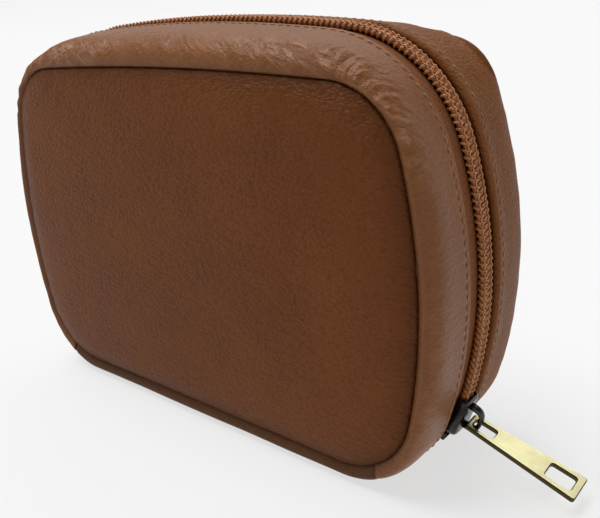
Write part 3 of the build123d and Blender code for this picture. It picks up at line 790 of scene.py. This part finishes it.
# %% Wrinkles
def band_relief(side, s, along):
    """Height of the band's sewn-in puckers at s round the bag and a distance from the seam.

    Small puckers stand along the seam. Round a top corner, where the strip is too long for the
    turn, folds fan out from the seam in two sizes, and the whole ridge swells unevenly.
    """
    seed = {-1: 10, 1: 40}[side]
    corner = wide_corner_share(s) * GATHERED[side]
    slant = s + 0.9 * along
    pucker = 0.13 * np.exp(-(along / 5)**2) * (folds(s / 6, along / 16, seed) - 0.45)
    fan = folds(slant / 4.2, (along - 0.4 * s) / 17, seed + 1) - 0.5
    fine = folds(slant / 2.3, (along - 0.3 * s) / 9, seed + 5) - 0.5
    swell = 0.9 * corner * bump_at(along, 6.5, 5) * noise(s / 19, along / 30, seed + 4)
    drift = 0.25 * noise(s / 34, along / 15, seed + 2)
    return (pucker * (0.4 + corner) + 0.55 * corner * bump_at(along, 7, 6) * fan
            + 0.3 * (corner + 0.1) * bump_at(along, 7, 5.5) * fine + swell + drift)


def band_gathers_and_highlight(side, s, along):
    """Where the band's ridge is gathered and gets a painted highlight, from 0 to 1, in uneven
    patches.
    """
    at_corner, everywhere = GATHERS_AND_HIGHLIGHT[side]
    patch = np.clip(0.6 + 1.1 * noise(s / 26, along / 12, 7 + side), 0, 1)
    strength = np.clip(wide_corner_share(s) * at_corner + everywhere, 0, 1)
    return strength * bump_at(along, 6.5, 4.2) * patch


def band_face(side, s, rows):
    """The band's face before it wrinkles: points, normals, and each row's distance along it."""
    last_share = (ZIP_GAP[side] + FOLD_RADIUS[side]) / DEPTH[side]
    shares, length = even_shares(side, last_share, rows)
    face, outward = skin(side, shares[:, None], s)
    return face, outward_normals(face, outward), outward, np.linspace(0, length, rows)[:, None]


def band_wrinkles(side):
    """How the band's leather moves as it settles, sewn along its seam, stitches and ends."""
    s = round_the_zip(CLOTH_COLUMNS)
    face, normal, outward, along = band_face(side, s, CLOTH_ROWS)
    index = np.arange(face.shape[0] * face.shape[1]).reshape(face.shape[:2])
    sewn = np.concatenate([index[0], index[-4:].ravel(), index[:, 0], index[:, -1]])
    quads = facing([grid_faces(*face.shape[:2])], face, normal)
    move = settle(face.reshape(-1, 3), quads, sewn, BAND_PRESSURE, BAND_GROWTH, BAND_CAP)
    share = smooth_step((along[-1] - along - 4) / 9) * (0.3 + 0.7 * corner_share(s))
    share = share * LOOSE[side]
    return finer(move.reshape(face.shape) * share[..., None], BAND_ROWS, BAND_COLUMNS)


# %% Band
def band_grid(side, s):
    """Points of the whole band from its flange in the seam to its hem, and its wrinkled face.

    The hem lies two fold radii under the face and follows it.
    """
    smooth, normal, outward, along = band_face(side, s, BAND_ROWS)
    length = along[-1, 0]
    from_edge = length - along
    radius = FOLD_RADIUS[side]
    rise = edge_rise(side, from_edge)
    groove = 0.14 * bump_at(from_edge, STITCH_SETBACK[side] - radius, 0.6)
    relief = band_relief(side, s, along) * smooth_step((from_edge - 2) / 9) - groove
    relief = relief - valley(along, SEAM_ROLL) + rise
    face = smooth + relief[..., None] * normal + band_wrinkles(side)
    depth_way = -side * DEPTH_WAY
    flange = flange_rows(face[:1], depth_way - outward[:1])
    turn = np.linspace(0, np.pi, FOLD_ROWS + 1)[1:, None, None]
    fold = face[-1:] + radius * (np.sin(turn) * depth_way - (1 - np.cos(turn)) * outward[-1:])
    back = np.linspace(0, TURNED_EDGE - radius, HEM_ROWS + 1)[1:]
    under = smooth + (rise - 2 * radius)[..., None] * normal
    hem = read_row(under, (1 - back / length) * (BAND_ROWS - 1))
    beyond = length + np.arange(1, FOLD_ROWS + HEM_ROWS + 1)[:, None]
    path = np.concatenate([np.zeros((FLANGE_ROWS, 1)), along, beyond])
    return np.concatenate([flange, face, fold, hem]), face, outward, path


def make_band(side, name):
    """A band as an object, cut where it meets the base."""
    s = round_the_zip(BAND_COLUMNS)
    grid, face, outward, path = band_grid(side, s)
    grid[..., 2] = np.maximum(grid[..., 2], 0.02)
    looks = np.zeros_like(grid)
    looks[FLANGE_ROWS:FLANGE_ROWS + BAND_ROWS] = outward
    uv = np.stack(np.broadcast_arrays(s[None, :], path), axis=-1)
    piece = from_grid(name, grid, looks, uv=uv)
    # Painted shade down in the seam, darkening the band's colour.
    mark(piece, "painted_shade", PAINTED_SHADE_STRENGTH[side] * seam_painted_shade(path) + 0 * s)
    # Gathers on the ridge, with a painted highlight on their crests.
    mark(piece, "gathers_and_highlight", band_gathers_and_highlight(side, s, path))
    dress(piece, BAND_LEATHER[side], BAND_THICKNESS)
    band_faces[side] = face
    print(name, grid.shape)


for side, word in SIDES:
    make_band(side, word + "band_leather")

# %% [markdown]
# ## Topstitching
# A row of stitches runs a few millimetres from each folded edge and holds the tape under it. A
# stitch is a short thread that dips into the leather at both ends, drawn as a small closed
# spindle: four rings and two poles, repeated along the row.

# %% Topstitching
STITCH_STEP = 2.9
STITCH_LENGTH = 2.3
STITCH_RADIUS = 0.24
SPINDLE_AT = np.array([0.0, 0.08, 0.35, 0.65, 0.92, 1.0])
SPINDLE_RADIUS = np.array([0.75, 1.0, 1.0, 0.75])
SPINDLE_HEIGHT = np.array([-0.3, -0.05, 0.14, 0.14, -0.05, -0.3])
SPINDLE_SIDES = 6


def read_along(line, values, places):
    """Vectors given at the points of a line, read at distances along it."""
    at = distances(line)
    return np.stack([np.interp(places, at, values[:, axis]) for axis in range(3)], axis=-1)


def unit(vectors):
    """Vectors made one long."""
    return vectors / np.linalg.norm(vectors, axis=-1, keepdims=True)


def circles(first, second, sides, radius=1.0):
    """Circles in the planes of pairs of directions: r (cos t . first + sin t . second)."""
    turn = np.linspace(0, 2 * np.pi, sides, endpoint=False)[:, None]
    return radius * (np.cos(turn) * first[..., None, :] + np.sin(turn) * second[..., None, :])


def make_topstitch(side, name):
    """The row of stitches of one band: at u along a stitch its middle has height h(u)."""
    face = band_faces[side]
    along = distances(face[:, BAND_COLUMNS // 3])
    at = along[-1] + FOLD_RADIUS[side] - STITCH_SETBACK[side]
    row = np.interp([at], along, np.arange(len(along)))
    line = read_row(face, row)[0]
    outward = skin(side, np.array([[0.4]]), round_the_zip(BAND_COLUMNS))[1]
    ways = outward_normals(face, outward)[int(np.ceil(row[0]))]
    starts = np.arange(0.5 * STITCH_STEP, distances(line)[-1] - STITCH_STEP, STITCH_STEP)
    places = starts[:, None] + STITCH_LENGTH * SPINDLE_AT
    middle = read_along(line, line, places)
    way = unit(read_along(line, ways, places))
    across = np.cross(way, unit(middle[:, -1:] - middle[:, :1]))
    middle = middle + SPINDLE_HEIGHT[:, None] * way
    thick = (STITCH_RADIUS * SPINDLE_RADIUS)[:, None, None]
    rings = middle[:, 1:-1, None] + circles(across[:, 1:-1], way[:, 1:-1], SPINDLE_SIDES, thick)
    dress(from_tubes(name, rings, middle[:, [0, -1]]), LEATHER_THREAD)
    print(name, len(starts), "stitches")


for side, word in SIDES:
    make_topstitch(side, word + "topstitch")

# %% [markdown]
# ## The base
# The strip under the bag runs from seam to seam and lies flat where the bag rests. Its colour is
# far darker than the bands': in part a darker leather, in part painted shade under the bag. It
# meets them at a seam near each lower corner.

# %% Base gusset
GUSSET_COLUMNS = 230
GUSSET_ROWS = 36


def gusset_grid(s):
    """Points of the base strip, front seam first: the same skin, pressed flat on the floor."""
    halves = []
    for side in (-1, 1):
        shares, length = even_shares(side, 0.0, GUSSET_ROWS, at=BASE_SEAM)
        along = np.linspace(0, length, GUSSET_ROWS)[:, None]
        face, outward = skin(side, shares[:, None], s)
        end = 0.7 * np.exp(-((BASE_SEAM - np.abs(s)) / 1.1)**2)
        relief = 0.2 * noise(s / 21, along / 17, 60 + side) - end - valley(along, SEAM_ROLL)
        face = face + relief[..., None] * outward_normals(face, outward)
        flange = flange_rows(face[:1], -side * DEPTH_WAY - outward[:1])
        halves.append(np.concatenate([flange, face]))
    front, back = halves
    return np.concatenate([front, back[-2::-1]])


base_s = np.linspace(-BASE_SEAM, BASE_SEAM, GUSSET_COLUMNS)
base_points = gusset_grid(base_s)
base_points[..., 2] = np.maximum(base_points[..., 2], 0.0)
DOWN = np.array([0.0, 0.0, -1.0])
dress(from_grid("base_leather", base_points, DOWN), BASE_LEATHER_WITH_PAINTED_SHADE, BAND_THICKNESS)

# %% [markdown]
# ## The panels
# A panel is a disc of leather over padding: a grid of rings that shrink to the middle. Its edge
# rolls down into the seam, and the padding crowns it a little.

# %% Panels
PANEL_RINGS = 90
PANEL_COLUMNS = 420
PANEL_CROWN = 1.7
PANEL_ROLL = 4.6
PANEL_THICKNESS = 1.0


def panel_middle(side):
    """The height of a panel's middle."""
    return (SEAM[side]["top"] + SEAM[side]["bottom"]) / 2


def panel_grid(side):
    """Points of a panel, middle first: rings of the seam's outline scaled about its middle.

    The height follows the distance from the seam: down in the seam, up over the rolled edge and
    then a slow crown, 1 - exp(-distance / 16).
    """
    s = np.linspace(0, 2 * HALF_LOOP, PANEL_COLUMNS, endpoint=False)
    x, z, angle = ring(grow(SEAM[side], -0.2), s)
    middle = panel_middle(side)
    scale = np.linspace(0, 1, PANEL_RINGS)[:, None]**0.85
    reach = x * np.cos(angle) + (z - middle) * np.sin(angle)
    inside = (1 - scale) * reach
    px = scale * x
    pz = middle + scale * (z - middle)
    height = PANEL_CROWN * (1 - np.exp(-inside / 16)) - valley(inside, PANEL_ROLL)
    height = height + 0.35 * noise(px / 42, pz / 34, 80 + side) * np.clip(inside / 12, 0, 1)
    pucker = folds(s / 8, inside / 20, 90 + side) - 0.45
    height = height + 0.25 * np.exp(-(inside / 6)**2) * pucker
    face = np.stack([px, side * (DEPTH[side] + height), pz], axis=-1)
    inward = np.stack([-np.cos(angle), 0 * angle, -np.sin(angle)], axis=-1)
    flange = face[-1:] + np.linspace(0, FLANGE, 4)[1:, None, None] * (inward - side * DEPTH_WAY)
    return np.concatenate([face, flange]), np.concatenate([inside, 0 * flange[..., 0]])


def make_panel(side, name):
    """A panel as an object."""
    grid, inside = panel_grid(side)
    piece = from_disc(name, grid, side * DEPTH_WAY)
    # Painted shade down in the seam, darkening the panel's colour.
    mark(piece, "painted_shade", seam_painted_shade(np.concatenate([inside[0, :1], inside[1:].ravel()])))
    dress(piece, PANEL_LEATHER, PANEL_THICKNESS)


for side, word in SIDES:
    make_panel(side, word + "panel_leather")

# %% [markdown]
# ## Padding and lining
# Under the leather lies a sheet of foam, and inside it the lining. Both follow the same skin,
# moved inward, and cross behind the panel.

# %% Padding and lining
CUT_CORNER = 0.925
DISH_COLUMNS = 260
FOAM_THICKNESS = 1.0
CLOTH_THICKNESS = 0.45
BASE_CLOTH_THICKNESS = 0.4
BASE_CLOTH_INSET = 2.5
BASE_CLOTH_HALF = 20.6


def dish_grid(side, inset, edge, base_edge):
    """Points of an inner layer, middle of the panel first, out to an edge beside the zip.

    The corner under the sunken seam is cut off: the flat part ends at a share of the seam's
    outline, and the wall starts at the same share of the depth. Over the base the wall ends
    further from the zip.
    """
    s = np.linspace(0, 2 * HALF_LOOP, DISH_COLUMNS, endpoint=False)
    depth = DEPTH[side] - inset
    last = np.where(from_place(s, 0) < BASE_SEAM, base_edge, edge)
    first_angle = math.acos(CUT_CORNER)
    rows = np.linspace(0, 1, 26)[:, None]
    angle = first_angle + rows * (np.arccos(last / depth) - first_angle)
    bowl, outward = skin(side, np.cos(angle), s, inset)
    rim, outward = skin(side, np.array([[1.0]]), s, inset)
    centre = np.array([0.0, side * depth, panel_middle(side)])
    disc = centre + CUT_CORNER * np.linspace(0, 1, 14)[:, None, None] * (rim - centre)
    return np.concatenate([disc, bowl])


dishes = [(-1, "front_padding", 1.1, 18.0, 20.5, PADDING, FOAM_THICKNESS),
          (1, "back_padding", 1.1, 16.3, 20.5, PADDING, FOAM_THICKNESS),
          (-1, "front_lining_cloth", 2.3, 8.7, 15.0, LINING_CLOTH, CLOTH_THICKNESS),
          (1, "back_lining_cloth", 2.95, 7.0, 15.0, LINING_CLOTH, CLOTH_THICKNESS)]
for side, name, inset, edge, base_edge, material, thickness in dishes:
    grid = dish_grid(side, inset, edge, base_edge)
    dress(from_disc(name, grid, side * DEPTH_WAY), material, thickness)
    print(name, grid.shape)


def strip_grid(s, y, inset):
    """Points of a strip that crosses the zip plane at an inset under the skin."""
    rows = []
    for side, here in ((-1, y[y < 0]), (1, y[y >= 0])):
        shares = np.abs(here) / (DEPTH[side] - inset)
        rows.append(skin(side, shares[:, None], s, inset)[0])
    return np.concatenate(rows)


base_cloth_y = np.linspace(-BASE_CLOTH_HALF, BASE_CLOTH_HALF, 24)
base_cloth_points = strip_grid(base_s, base_cloth_y, BASE_CLOTH_INSET)
dress(from_grid("base_lining_cloth", base_cloth_points, DOWN), LINING_CLOTH, BASE_CLOTH_THICKNESS)

# %% [markdown]
# ## The zip
# The tape is a woven strip under each folded edge. On it sits the coil: one nylon filament
# wound in flat loops, which hook into the loops of the other row half a pitch away. A cord
# fills each coil, and a thread that dips between its loops sews it to its tape.

# %% Zip tape
TAPE_INSET = {-1: 1.65, 1: 2.35}
TAPE_EDGES = (14.8, 1.5)
TAPE_ROWS = 28
TAPE_COLUMNS = 520


def make_tape(side, name):
    """One tape with its UV map along the zip. It follows the hem, and so rises to the coil."""
    s = round_the_zip(TAPE_COLUMNS, 1.5)
    y = side * np.linspace(*TAPE_EDGES, TAPE_ROWS)[:, None]
    under_hem = np.maximum(np.abs(y) - ZIP_GAP[side], 0)
    inset = TAPE_INSET[side] - edge_rise(side, under_hem)
    grid, outward = skin(side, np.abs(y) / (DEPTH[side] - inset), s, inset)
    uv = np.stack(np.broadcast_arrays(s[None, :], y), axis=-1)
    dress(from_grid(name, grid, outward, uv=uv), ZIP_TAPE, CLOTH_THICKNESS)
    print(name, grid.shape)


for side, word in SIDES:
    make_tape(side, word + "tape")

# %% Coil
SLIDER_HEIGHT = 17.8
SLIDER_ANGLE = math.asin((SLIDER_HEIGHT - BELLY) / ZIP["side_radius"])
SLIDER_AT = float(KNOTS[2]) + ZIP["side_radius"] * (SLIDER_ANGLE - stretches(ZIP)[1][1][3])
CHAIN_END = 2 * float(HALF_LOOP) - SLIDER_AT
PITCH = 1.86
FILAMENT = 0.4
COIL_MIDDLE_DEPTH = 0.35
COIL_HALF_HEIGHT = 1.12
COIL_HALF_WIDTH = 1.62
COIL_ASIDE = 1.16
ROW_SHIFT = 1.4
THREAD_RADIUS = 0.2
THREAD_ASIDE = 1.8
CORD_RADIUS = 0.72


def chain_frame(s):
    """Points of the zip line, and its outward and forward directions, at distances s."""
    x, z, angle = ring(ZIP, s)
    point = np.stack([x, 0 * x, z], axis=-1)
    outward = np.stack([np.cos(angle), 0 * x, np.sin(angle)], axis=-1)
    return point, outward, np.stack([-np.sin(angle), 0 * x, np.cos(angle)], axis=-1)


def chain_points(s, depth, y):
    """Points at distances s along the zip line, at a depth under it and y aside."""
    point, outward, forward = chain_frame(s)
    return point - (depth + 0 * s)[:, None] * outward + (y + 0 * s)[:, None] * DEPTH_WAY


def chain_places(start, step):
    """Places along the zip line from a start to the chain's end."""
    return np.arange(start, CHAIN_END - 0.5, step)


def coil_turn(side, s):
    """The angle of a coil row at s: one turn a pitch, the back row half a turn ahead."""
    return 2 * np.pi * s / PITCH + (0 if side < 0 else np.pi)


def bent(value, power):
    """A cosine or sine with its size raised to a power and its sign kept."""
    return np.sign(value) * np.abs(value)**power


def tube_grid(path, radius, sides):
    """Points of a tube round a path: a circle in the plane of two directions across the path."""
    along = unit(np.gradient(path, axis=0))
    guide = np.roll(along, 1, axis=1) * np.array([1.0, -1.0, 1.0])
    first = unit(np.cross(along, guide))
    return path[:, None] + circles(first, np.cross(along, first), sides, radius)


def coil_path(side):
    """The filament's middle line: y and depth follow a flattened ellipse, one turn per pitch."""
    s = chain_places(SLIDER_AT - 7.0, PITCH / 14)
    turn = coil_turn(side, s)
    parted = ROW_SHIFT * np.clip((SLIDER_AT + 0.7 - s) / 5, 0, 1)
    across = (COIL_HALF_WIDTH - FILAMENT) * bent(np.cos(turn), 0.75)
    lift = (COIL_HALF_HEIGHT - FILAMENT) * bent(np.sin(turn), 0.75)
    return chain_points(s, COIL_MIDDLE_DEPTH - lift, side * (COIL_ASIDE + parted - across))


def thread_path(side):
    """The thread's middle line: it rides on the loops and sinks between them as a sine."""
    s = chain_places(SLIDER_AT + 0.9, PITCH / 8)
    top = COIL_MIDDLE_DEPTH - COIL_HALF_HEIGHT - 0.5 * THREAD_RADIUS
    sunk = 0.2 * (1 - np.sin(coil_turn(side, s)))
    return chain_points(s, top + sunk, side * THREAD_ASIDE)


def cord_path(side):
    """The middle line of the cord that fills a coil row, straight along the zip."""
    s = chain_places(SLIDER_AT - 1.5, PITCH / 2)
    return chain_points(s, COIL_MIDDLE_DEPTH, side * (COIL_ASIDE + 0.15))


for name, path_of, radius, sides, material in (
        ("coil", coil_path, FILAMENT, 6, ZIP_COIL),
        ("coil_thread", thread_path, THREAD_RADIUS, 5, COIL_THREAD),
        ("coil_cord", cord_path, CORD_RADIUS, 8, ZIP_COIL)):
    for side, word in SIDES:
        path = path_of(side)
        dress(from_tube(word + name, tube_grid(path, radius, sides)), material)
        print(word + name, 2 * len(path) * sides, "triangles")

# %% [markdown]
# ## The metal parts and the other nodes
# The pull tab, the stops and the board keep their CAD shapes and get their finish here.

# %% Finishes of the kept nodes
node_objects = {piece["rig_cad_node"]: piece for piece in bpy.data.objects if "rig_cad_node" in piece}
finishes = {"pull_tab": TAB_BRASS, "zip_top_stops": SLIDER_METAL, "zip_bottom_stop": SLIDER_METAL,
            "base_stiffener": BOARD}
for node, material in finishes.items():
    node_objects[node].data.materials.clear()
    dress(node_objects[node], material)
print("finished nodes", sorted(finishes))

# %% [markdown]
# ## The slider
# A slider is cast, so every edge of it is round. It is drawn over the CAD slider's own sizes: an
# arched shell over the coil, a floor plate under it, the wedge that joins them and the bridge
# that holds the tab. Sections are superellipses, |cos|^p across and |sin|^p up. A place on the
# slider is (outward, across, along), and low and high are the ends of a CAD node in these.

# %% Slider
WIDE_END = -1.6
NARROW_START = 2.4
NARROW_HALF = 4.1
WIDE_CORNER = 2.6
NARROW_CORNER = 1.2
SHELL_FOOT = -1.1
SHELL_THICKNESS = 0.6
END_DROP = 0.4
PLATE_HALF = 0.6
WEDGE_AT = 3.4
WEDGE_HALF_LENGTH = 2.9
WEDGE_HALF_WIDTH = 1.05
BRIDGE_HALF = 0.65
slider_point, slider_outward, slider_forward = chain_frame(np.array([SLIDER_AT]))
SLIDER_PLACE = slider_point[0]
SLIDER_AXES = np.stack([slider_outward[0], DEPTH_WAY, slider_forward[0]])


def slider_box(node):
    """Lowest and highest outward, across and along values of a CAD node, seen from the slider."""
    vertices = node_objects[node].data.vertices
    points = np.zeros(3 * len(vertices), dtype=np.float32)
    vertices.foreach_get("co", points)
    local = (points.reshape(-1, 3) / MM - SLIDER_PLACE) @ SLIDER_AXES.T
    return local.min(axis=0), local.max(axis=0)


def corner_cut(distance, radius):
    """How far a rounded corner takes a side inward at a distance from the end."""
    share = np.clip(distance / radius, 0, 1)
    return radius * (1 - np.sqrt(1 - (1 - share)**2))


def plan(low, high, count):
    """Places along the slider and its half width there: wide, then narrow, round corners."""
    u = (low[2] + high[2]) / 2 + (high[2] - low[2]) / 2 * np.sin(np.linspace(-1.5, 1.5, count))
    share = smooth_step((u - WIDE_END) / (NARROW_START - WIDE_END))
    half = high[1] + (NARROW_HALF - high[1]) * share
    half = half - corner_cut(u - low[2], WIDE_CORNER) - corner_cut(high[2] - u, NARROW_CORNER)
    return u[:, None], half[:, None]


def slider_grid(out, across, along):
    """Points of a slider piece, worked out in the slider's own directions."""
    return SLIDER_PLACE + np.stack(np.broadcast_arrays(out, across, along), axis=-1) @ SLIDER_AXES


def make_shell(low, high):
    """The arched upper shell: its height falls away at both ends, as the plate's rim is round."""
    u, half = plan(low, high, 44)
    near_end = np.minimum(u - low[2], high[2] - u)
    top = high[0] - END_DROP * np.exp(-(near_end / 0.7)**2)
    turn = np.linspace(0, np.pi, 40)
    out = SHELL_FOOT + (top - SHELL_FOOT) * bent(np.sin(turn), 0.42)
    grid = slider_grid(out, half * bent(np.cos(turn), 0.35), u)
    piece = from_grid("slider_shell", grid, SLIDER_AXES[0])
    dress(piece, SLIDER_METAL, SHELL_THICKNESS)


def make_floor_plate(low, high):
    """The plate inside the bag: a closed rounded slab in the same plan."""
    u, half = plan(low, high, 30)
    turn = np.linspace(0, 2 * np.pi, 36, endpoint=False)
    out = low[0] + PLATE_HALF + PLATE_HALF * bent(np.sin(turn), 0.5)
    grid = slider_grid(out, half * bent(np.cos(turn), 0.5), u)
    dress(from_tube("slider_floor_plate", grid), SLIDER_METAL)


def make_wedge(low, high):
    """The post between shell and floor plate, an ellipse in plan."""
    out = np.linspace(low[0] + 0.5, high[0] - 0.5, 6)[:, None]
    turn = np.linspace(0, 2 * np.pi, 20, endpoint=False)
    along = low[2] + WEDGE_AT + WEDGE_HALF_LENGTH * np.cos(turn)
    grid = slider_grid(out, WEDGE_HALF_WIDTH * np.sin(turn), along)
    dress(from_tube("slider_wedge", grid), SLIDER_METAL)


def make_bridge(low, high):
    """The arch over the shell: thick at its feet, thinner at its top, round all along."""
    turn = np.linspace(0, np.pi, 40)
    thick = BRIDGE_HALF + 0.35 * np.abs(np.cos(turn))**3
    out = low[0] + (high[0] - BRIDGE_HALF - low[0]) * bent(np.sin(turn), 0.62)
    reach = (high[2] - low[2]) / 2 - 1.0
    u = (low[2] + high[2]) / 2 + reach * bent(np.cos(turn), 0.62)
    way = unit(np.gradient(np.stack([out, u], axis=-1), axis=0))
    around = np.linspace(0, 2 * np.pi, 20, endpoint=False)
    aside = thick[:, None] * bent(np.sin(around), 0.7)
    across = (high[1] - low[1]) / 2 * bent(np.cos(around), 0.7)
    grid = slider_grid(out[:, None] + aside * way[:, 1:], across, u[:, None] - aside * way[:, :1])
    dress(from_tube("slider_arch", grid), SLIDER_METAL)


body_box = slider_box("slider_body")
bridge_box = slider_box("slider_bridge")
make_shell(*body_box)
make_floor_plate(*body_box)
make_wedge(*body_box)
make_bridge(*bridge_box)
print("slider body", np.round(body_box, 2).tolist(), "bridge", np.round(bridge_box, 2).tolist())

# %% [markdown]
# ## Riding
# The front folds down about a line in its face, but the front pieces are tied to no body and
# stay where they are. The slider's pieces ride with the slider, and the others with the root.

# %% Bodies and replaced nodes
# Each piece with its slot, and the nodes that it stands for
pieces = {
    "front_band_leather": ("band_leather", ["front_band_upper", "front_band_lower"]),
    "front_panel_leather": ("panel_leather", ["front_panel_upper", "front_panel_lower"]),
    "front_padding": ("padding", ["front_panel_foam_upper", "front_panel_foam_lower",
                                  "front_band_foam_upper", "front_band_foam_lower"]),
    "front_lining_cloth": ("lining_cloth", ["front_lining_upper", "front_lining_lower"]),
    "front_tape": ("zip_tape", ["front_zip_tape_upper", "front_zip_tape_lower"]),
    "front_coil": ("zip_coil", ["front_zip_coil_upper", "front_zip_coil_lower"]),
    "back_band_leather": ("band_leather", ["back_band"]),
    "back_panel_leather": ("panel_leather", ["back_panel"]),
    "back_padding": ("padding", ["back_panel_foam", "back_band_foam"]),
    "back_lining_cloth": ("lining_cloth", ["back_lining"]),
    "back_tape": ("zip_tape", ["back_zip_tape"]),
    "back_coil": ("zip_coil", ["back_zip_coil"]),
    "base_leather": ("band_leather", ["base_gusset"]),
    "base_lining_cloth": ("lining_cloth", ["base_lining"]),
    "front_topstitch": ("band_leather", []),
    "back_topstitch": ("band_leather", []),
    "front_coil_thread": ("zip_coil", []),
    "back_coil_thread": ("zip_coil", []),
    "front_coil_cord": ("zip_coil", []),
    "back_coil_cord": ("zip_coil", []),
    "slider_shell": ("slider_metal", ["slider_body"]),
    "slider_floor_plate": ("slider_metal", []),
    "slider_wedge": ("slider_metal", []),
    "slider_arch": ("slider_metal", ["slider_bridge"]),
}
for name, (slot, nodes) in pieces.items():
    piece = bpy.data.objects[name]
    if nodes:
        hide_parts(*nodes)
    if name.startswith("front_"):
        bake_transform(piece)
    elif name.startswith("slider_"):
        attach(piece, "zip_slider")
    else:
        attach(piece, "root")
print("pieces", len(pieces))

# %% [markdown]
# ## Floor and light
# A plain pale floor and large soft lights, as in a product picture.

# %% Floor and light
FLOOR_REACH = 3500.0
FLOOR_RISE = 5000.0
FLOOR_GLOW = 0.66
WORLD_LIGHT = 0.16
WHITE = (1.0, 1.0, 1.0, 1.0)


def make_floor():
    """A round sheet of pale paper, wide and turned up far away, that glows a little.

    Its section is flat out to a radius and then a quarter circle, turned about the Z axis. The
    glow fades as the sheet rises.
    """
    turn = np.linspace(0, np.pi / 2, 17)
    radius = np.concatenate([[0.0, 300.0, 2000.0], FLOOR_REACH + FLOOR_RISE * np.sin(turn)])
    height = np.concatenate([[0.0, 0.0, 0.0], FLOOR_RISE * (1 - np.cos(turn))])[:, None, None]
    around = circles(np.array([1.0, 0.0, 0.0]), np.array([0.0, 1.0, 0.0]), 96)
    grid = radius[:, None, None] * around + height * np.array([0.0, 0.0, 1.0])
    floor = from_disc("floor", grid, -DOWN)
    material, tree, shader = new_material("floor_paper", Roughness=1.0, Specular_IOR_Level=0.0,
                                          Base_Color=(0.22, 0.22, 0.22, 1.0), Emission_Color=WHITE)
    above = add_node(tree, "ShaderNodeSeparateXYZ", Vector=object_place(tree)).outputs["Z"]
    glow = map_range(tree, above, 0.0, FLOOR_RISE * MM, FLOOR_GLOW, WORLD_LIGHT)
    tree.links.new(glow, shader.inputs["Emission Strength"])
    dress(floor, material)


def soft_light(name, way, width, strength):
    """A round soft light that is very far away, as wide as an angle in degrees."""
    data = bpy.data.lights.new(name, "SUN")
    data.angle = math.radians(width)
    data.energy = strength
    back = unit(np.array(way))
    right = unit(np.cross([0.0, 1.0, 0.0], back))
    put(name, data, np.array([right, np.cross(back, right), back]), back)


make_floor()
soft_light("above", (-0.36, -0.14, 0.92), 38.0, 2.8)
soft_light("behind", (-0.3, 0.6, 0.8), 62.0, 1.1)
world = bpy.data.worlds.new("pale_room")
world.use_nodes = True
sky = world.node_tree.nodes["Background"].inputs
sky["Color"].default_value = WHITE
sky["Strength"].default_value = WORLD_LIGHT
bpy.context.scene.world = world
bpy.context.scene.view_settings.view_transform = "Standard"
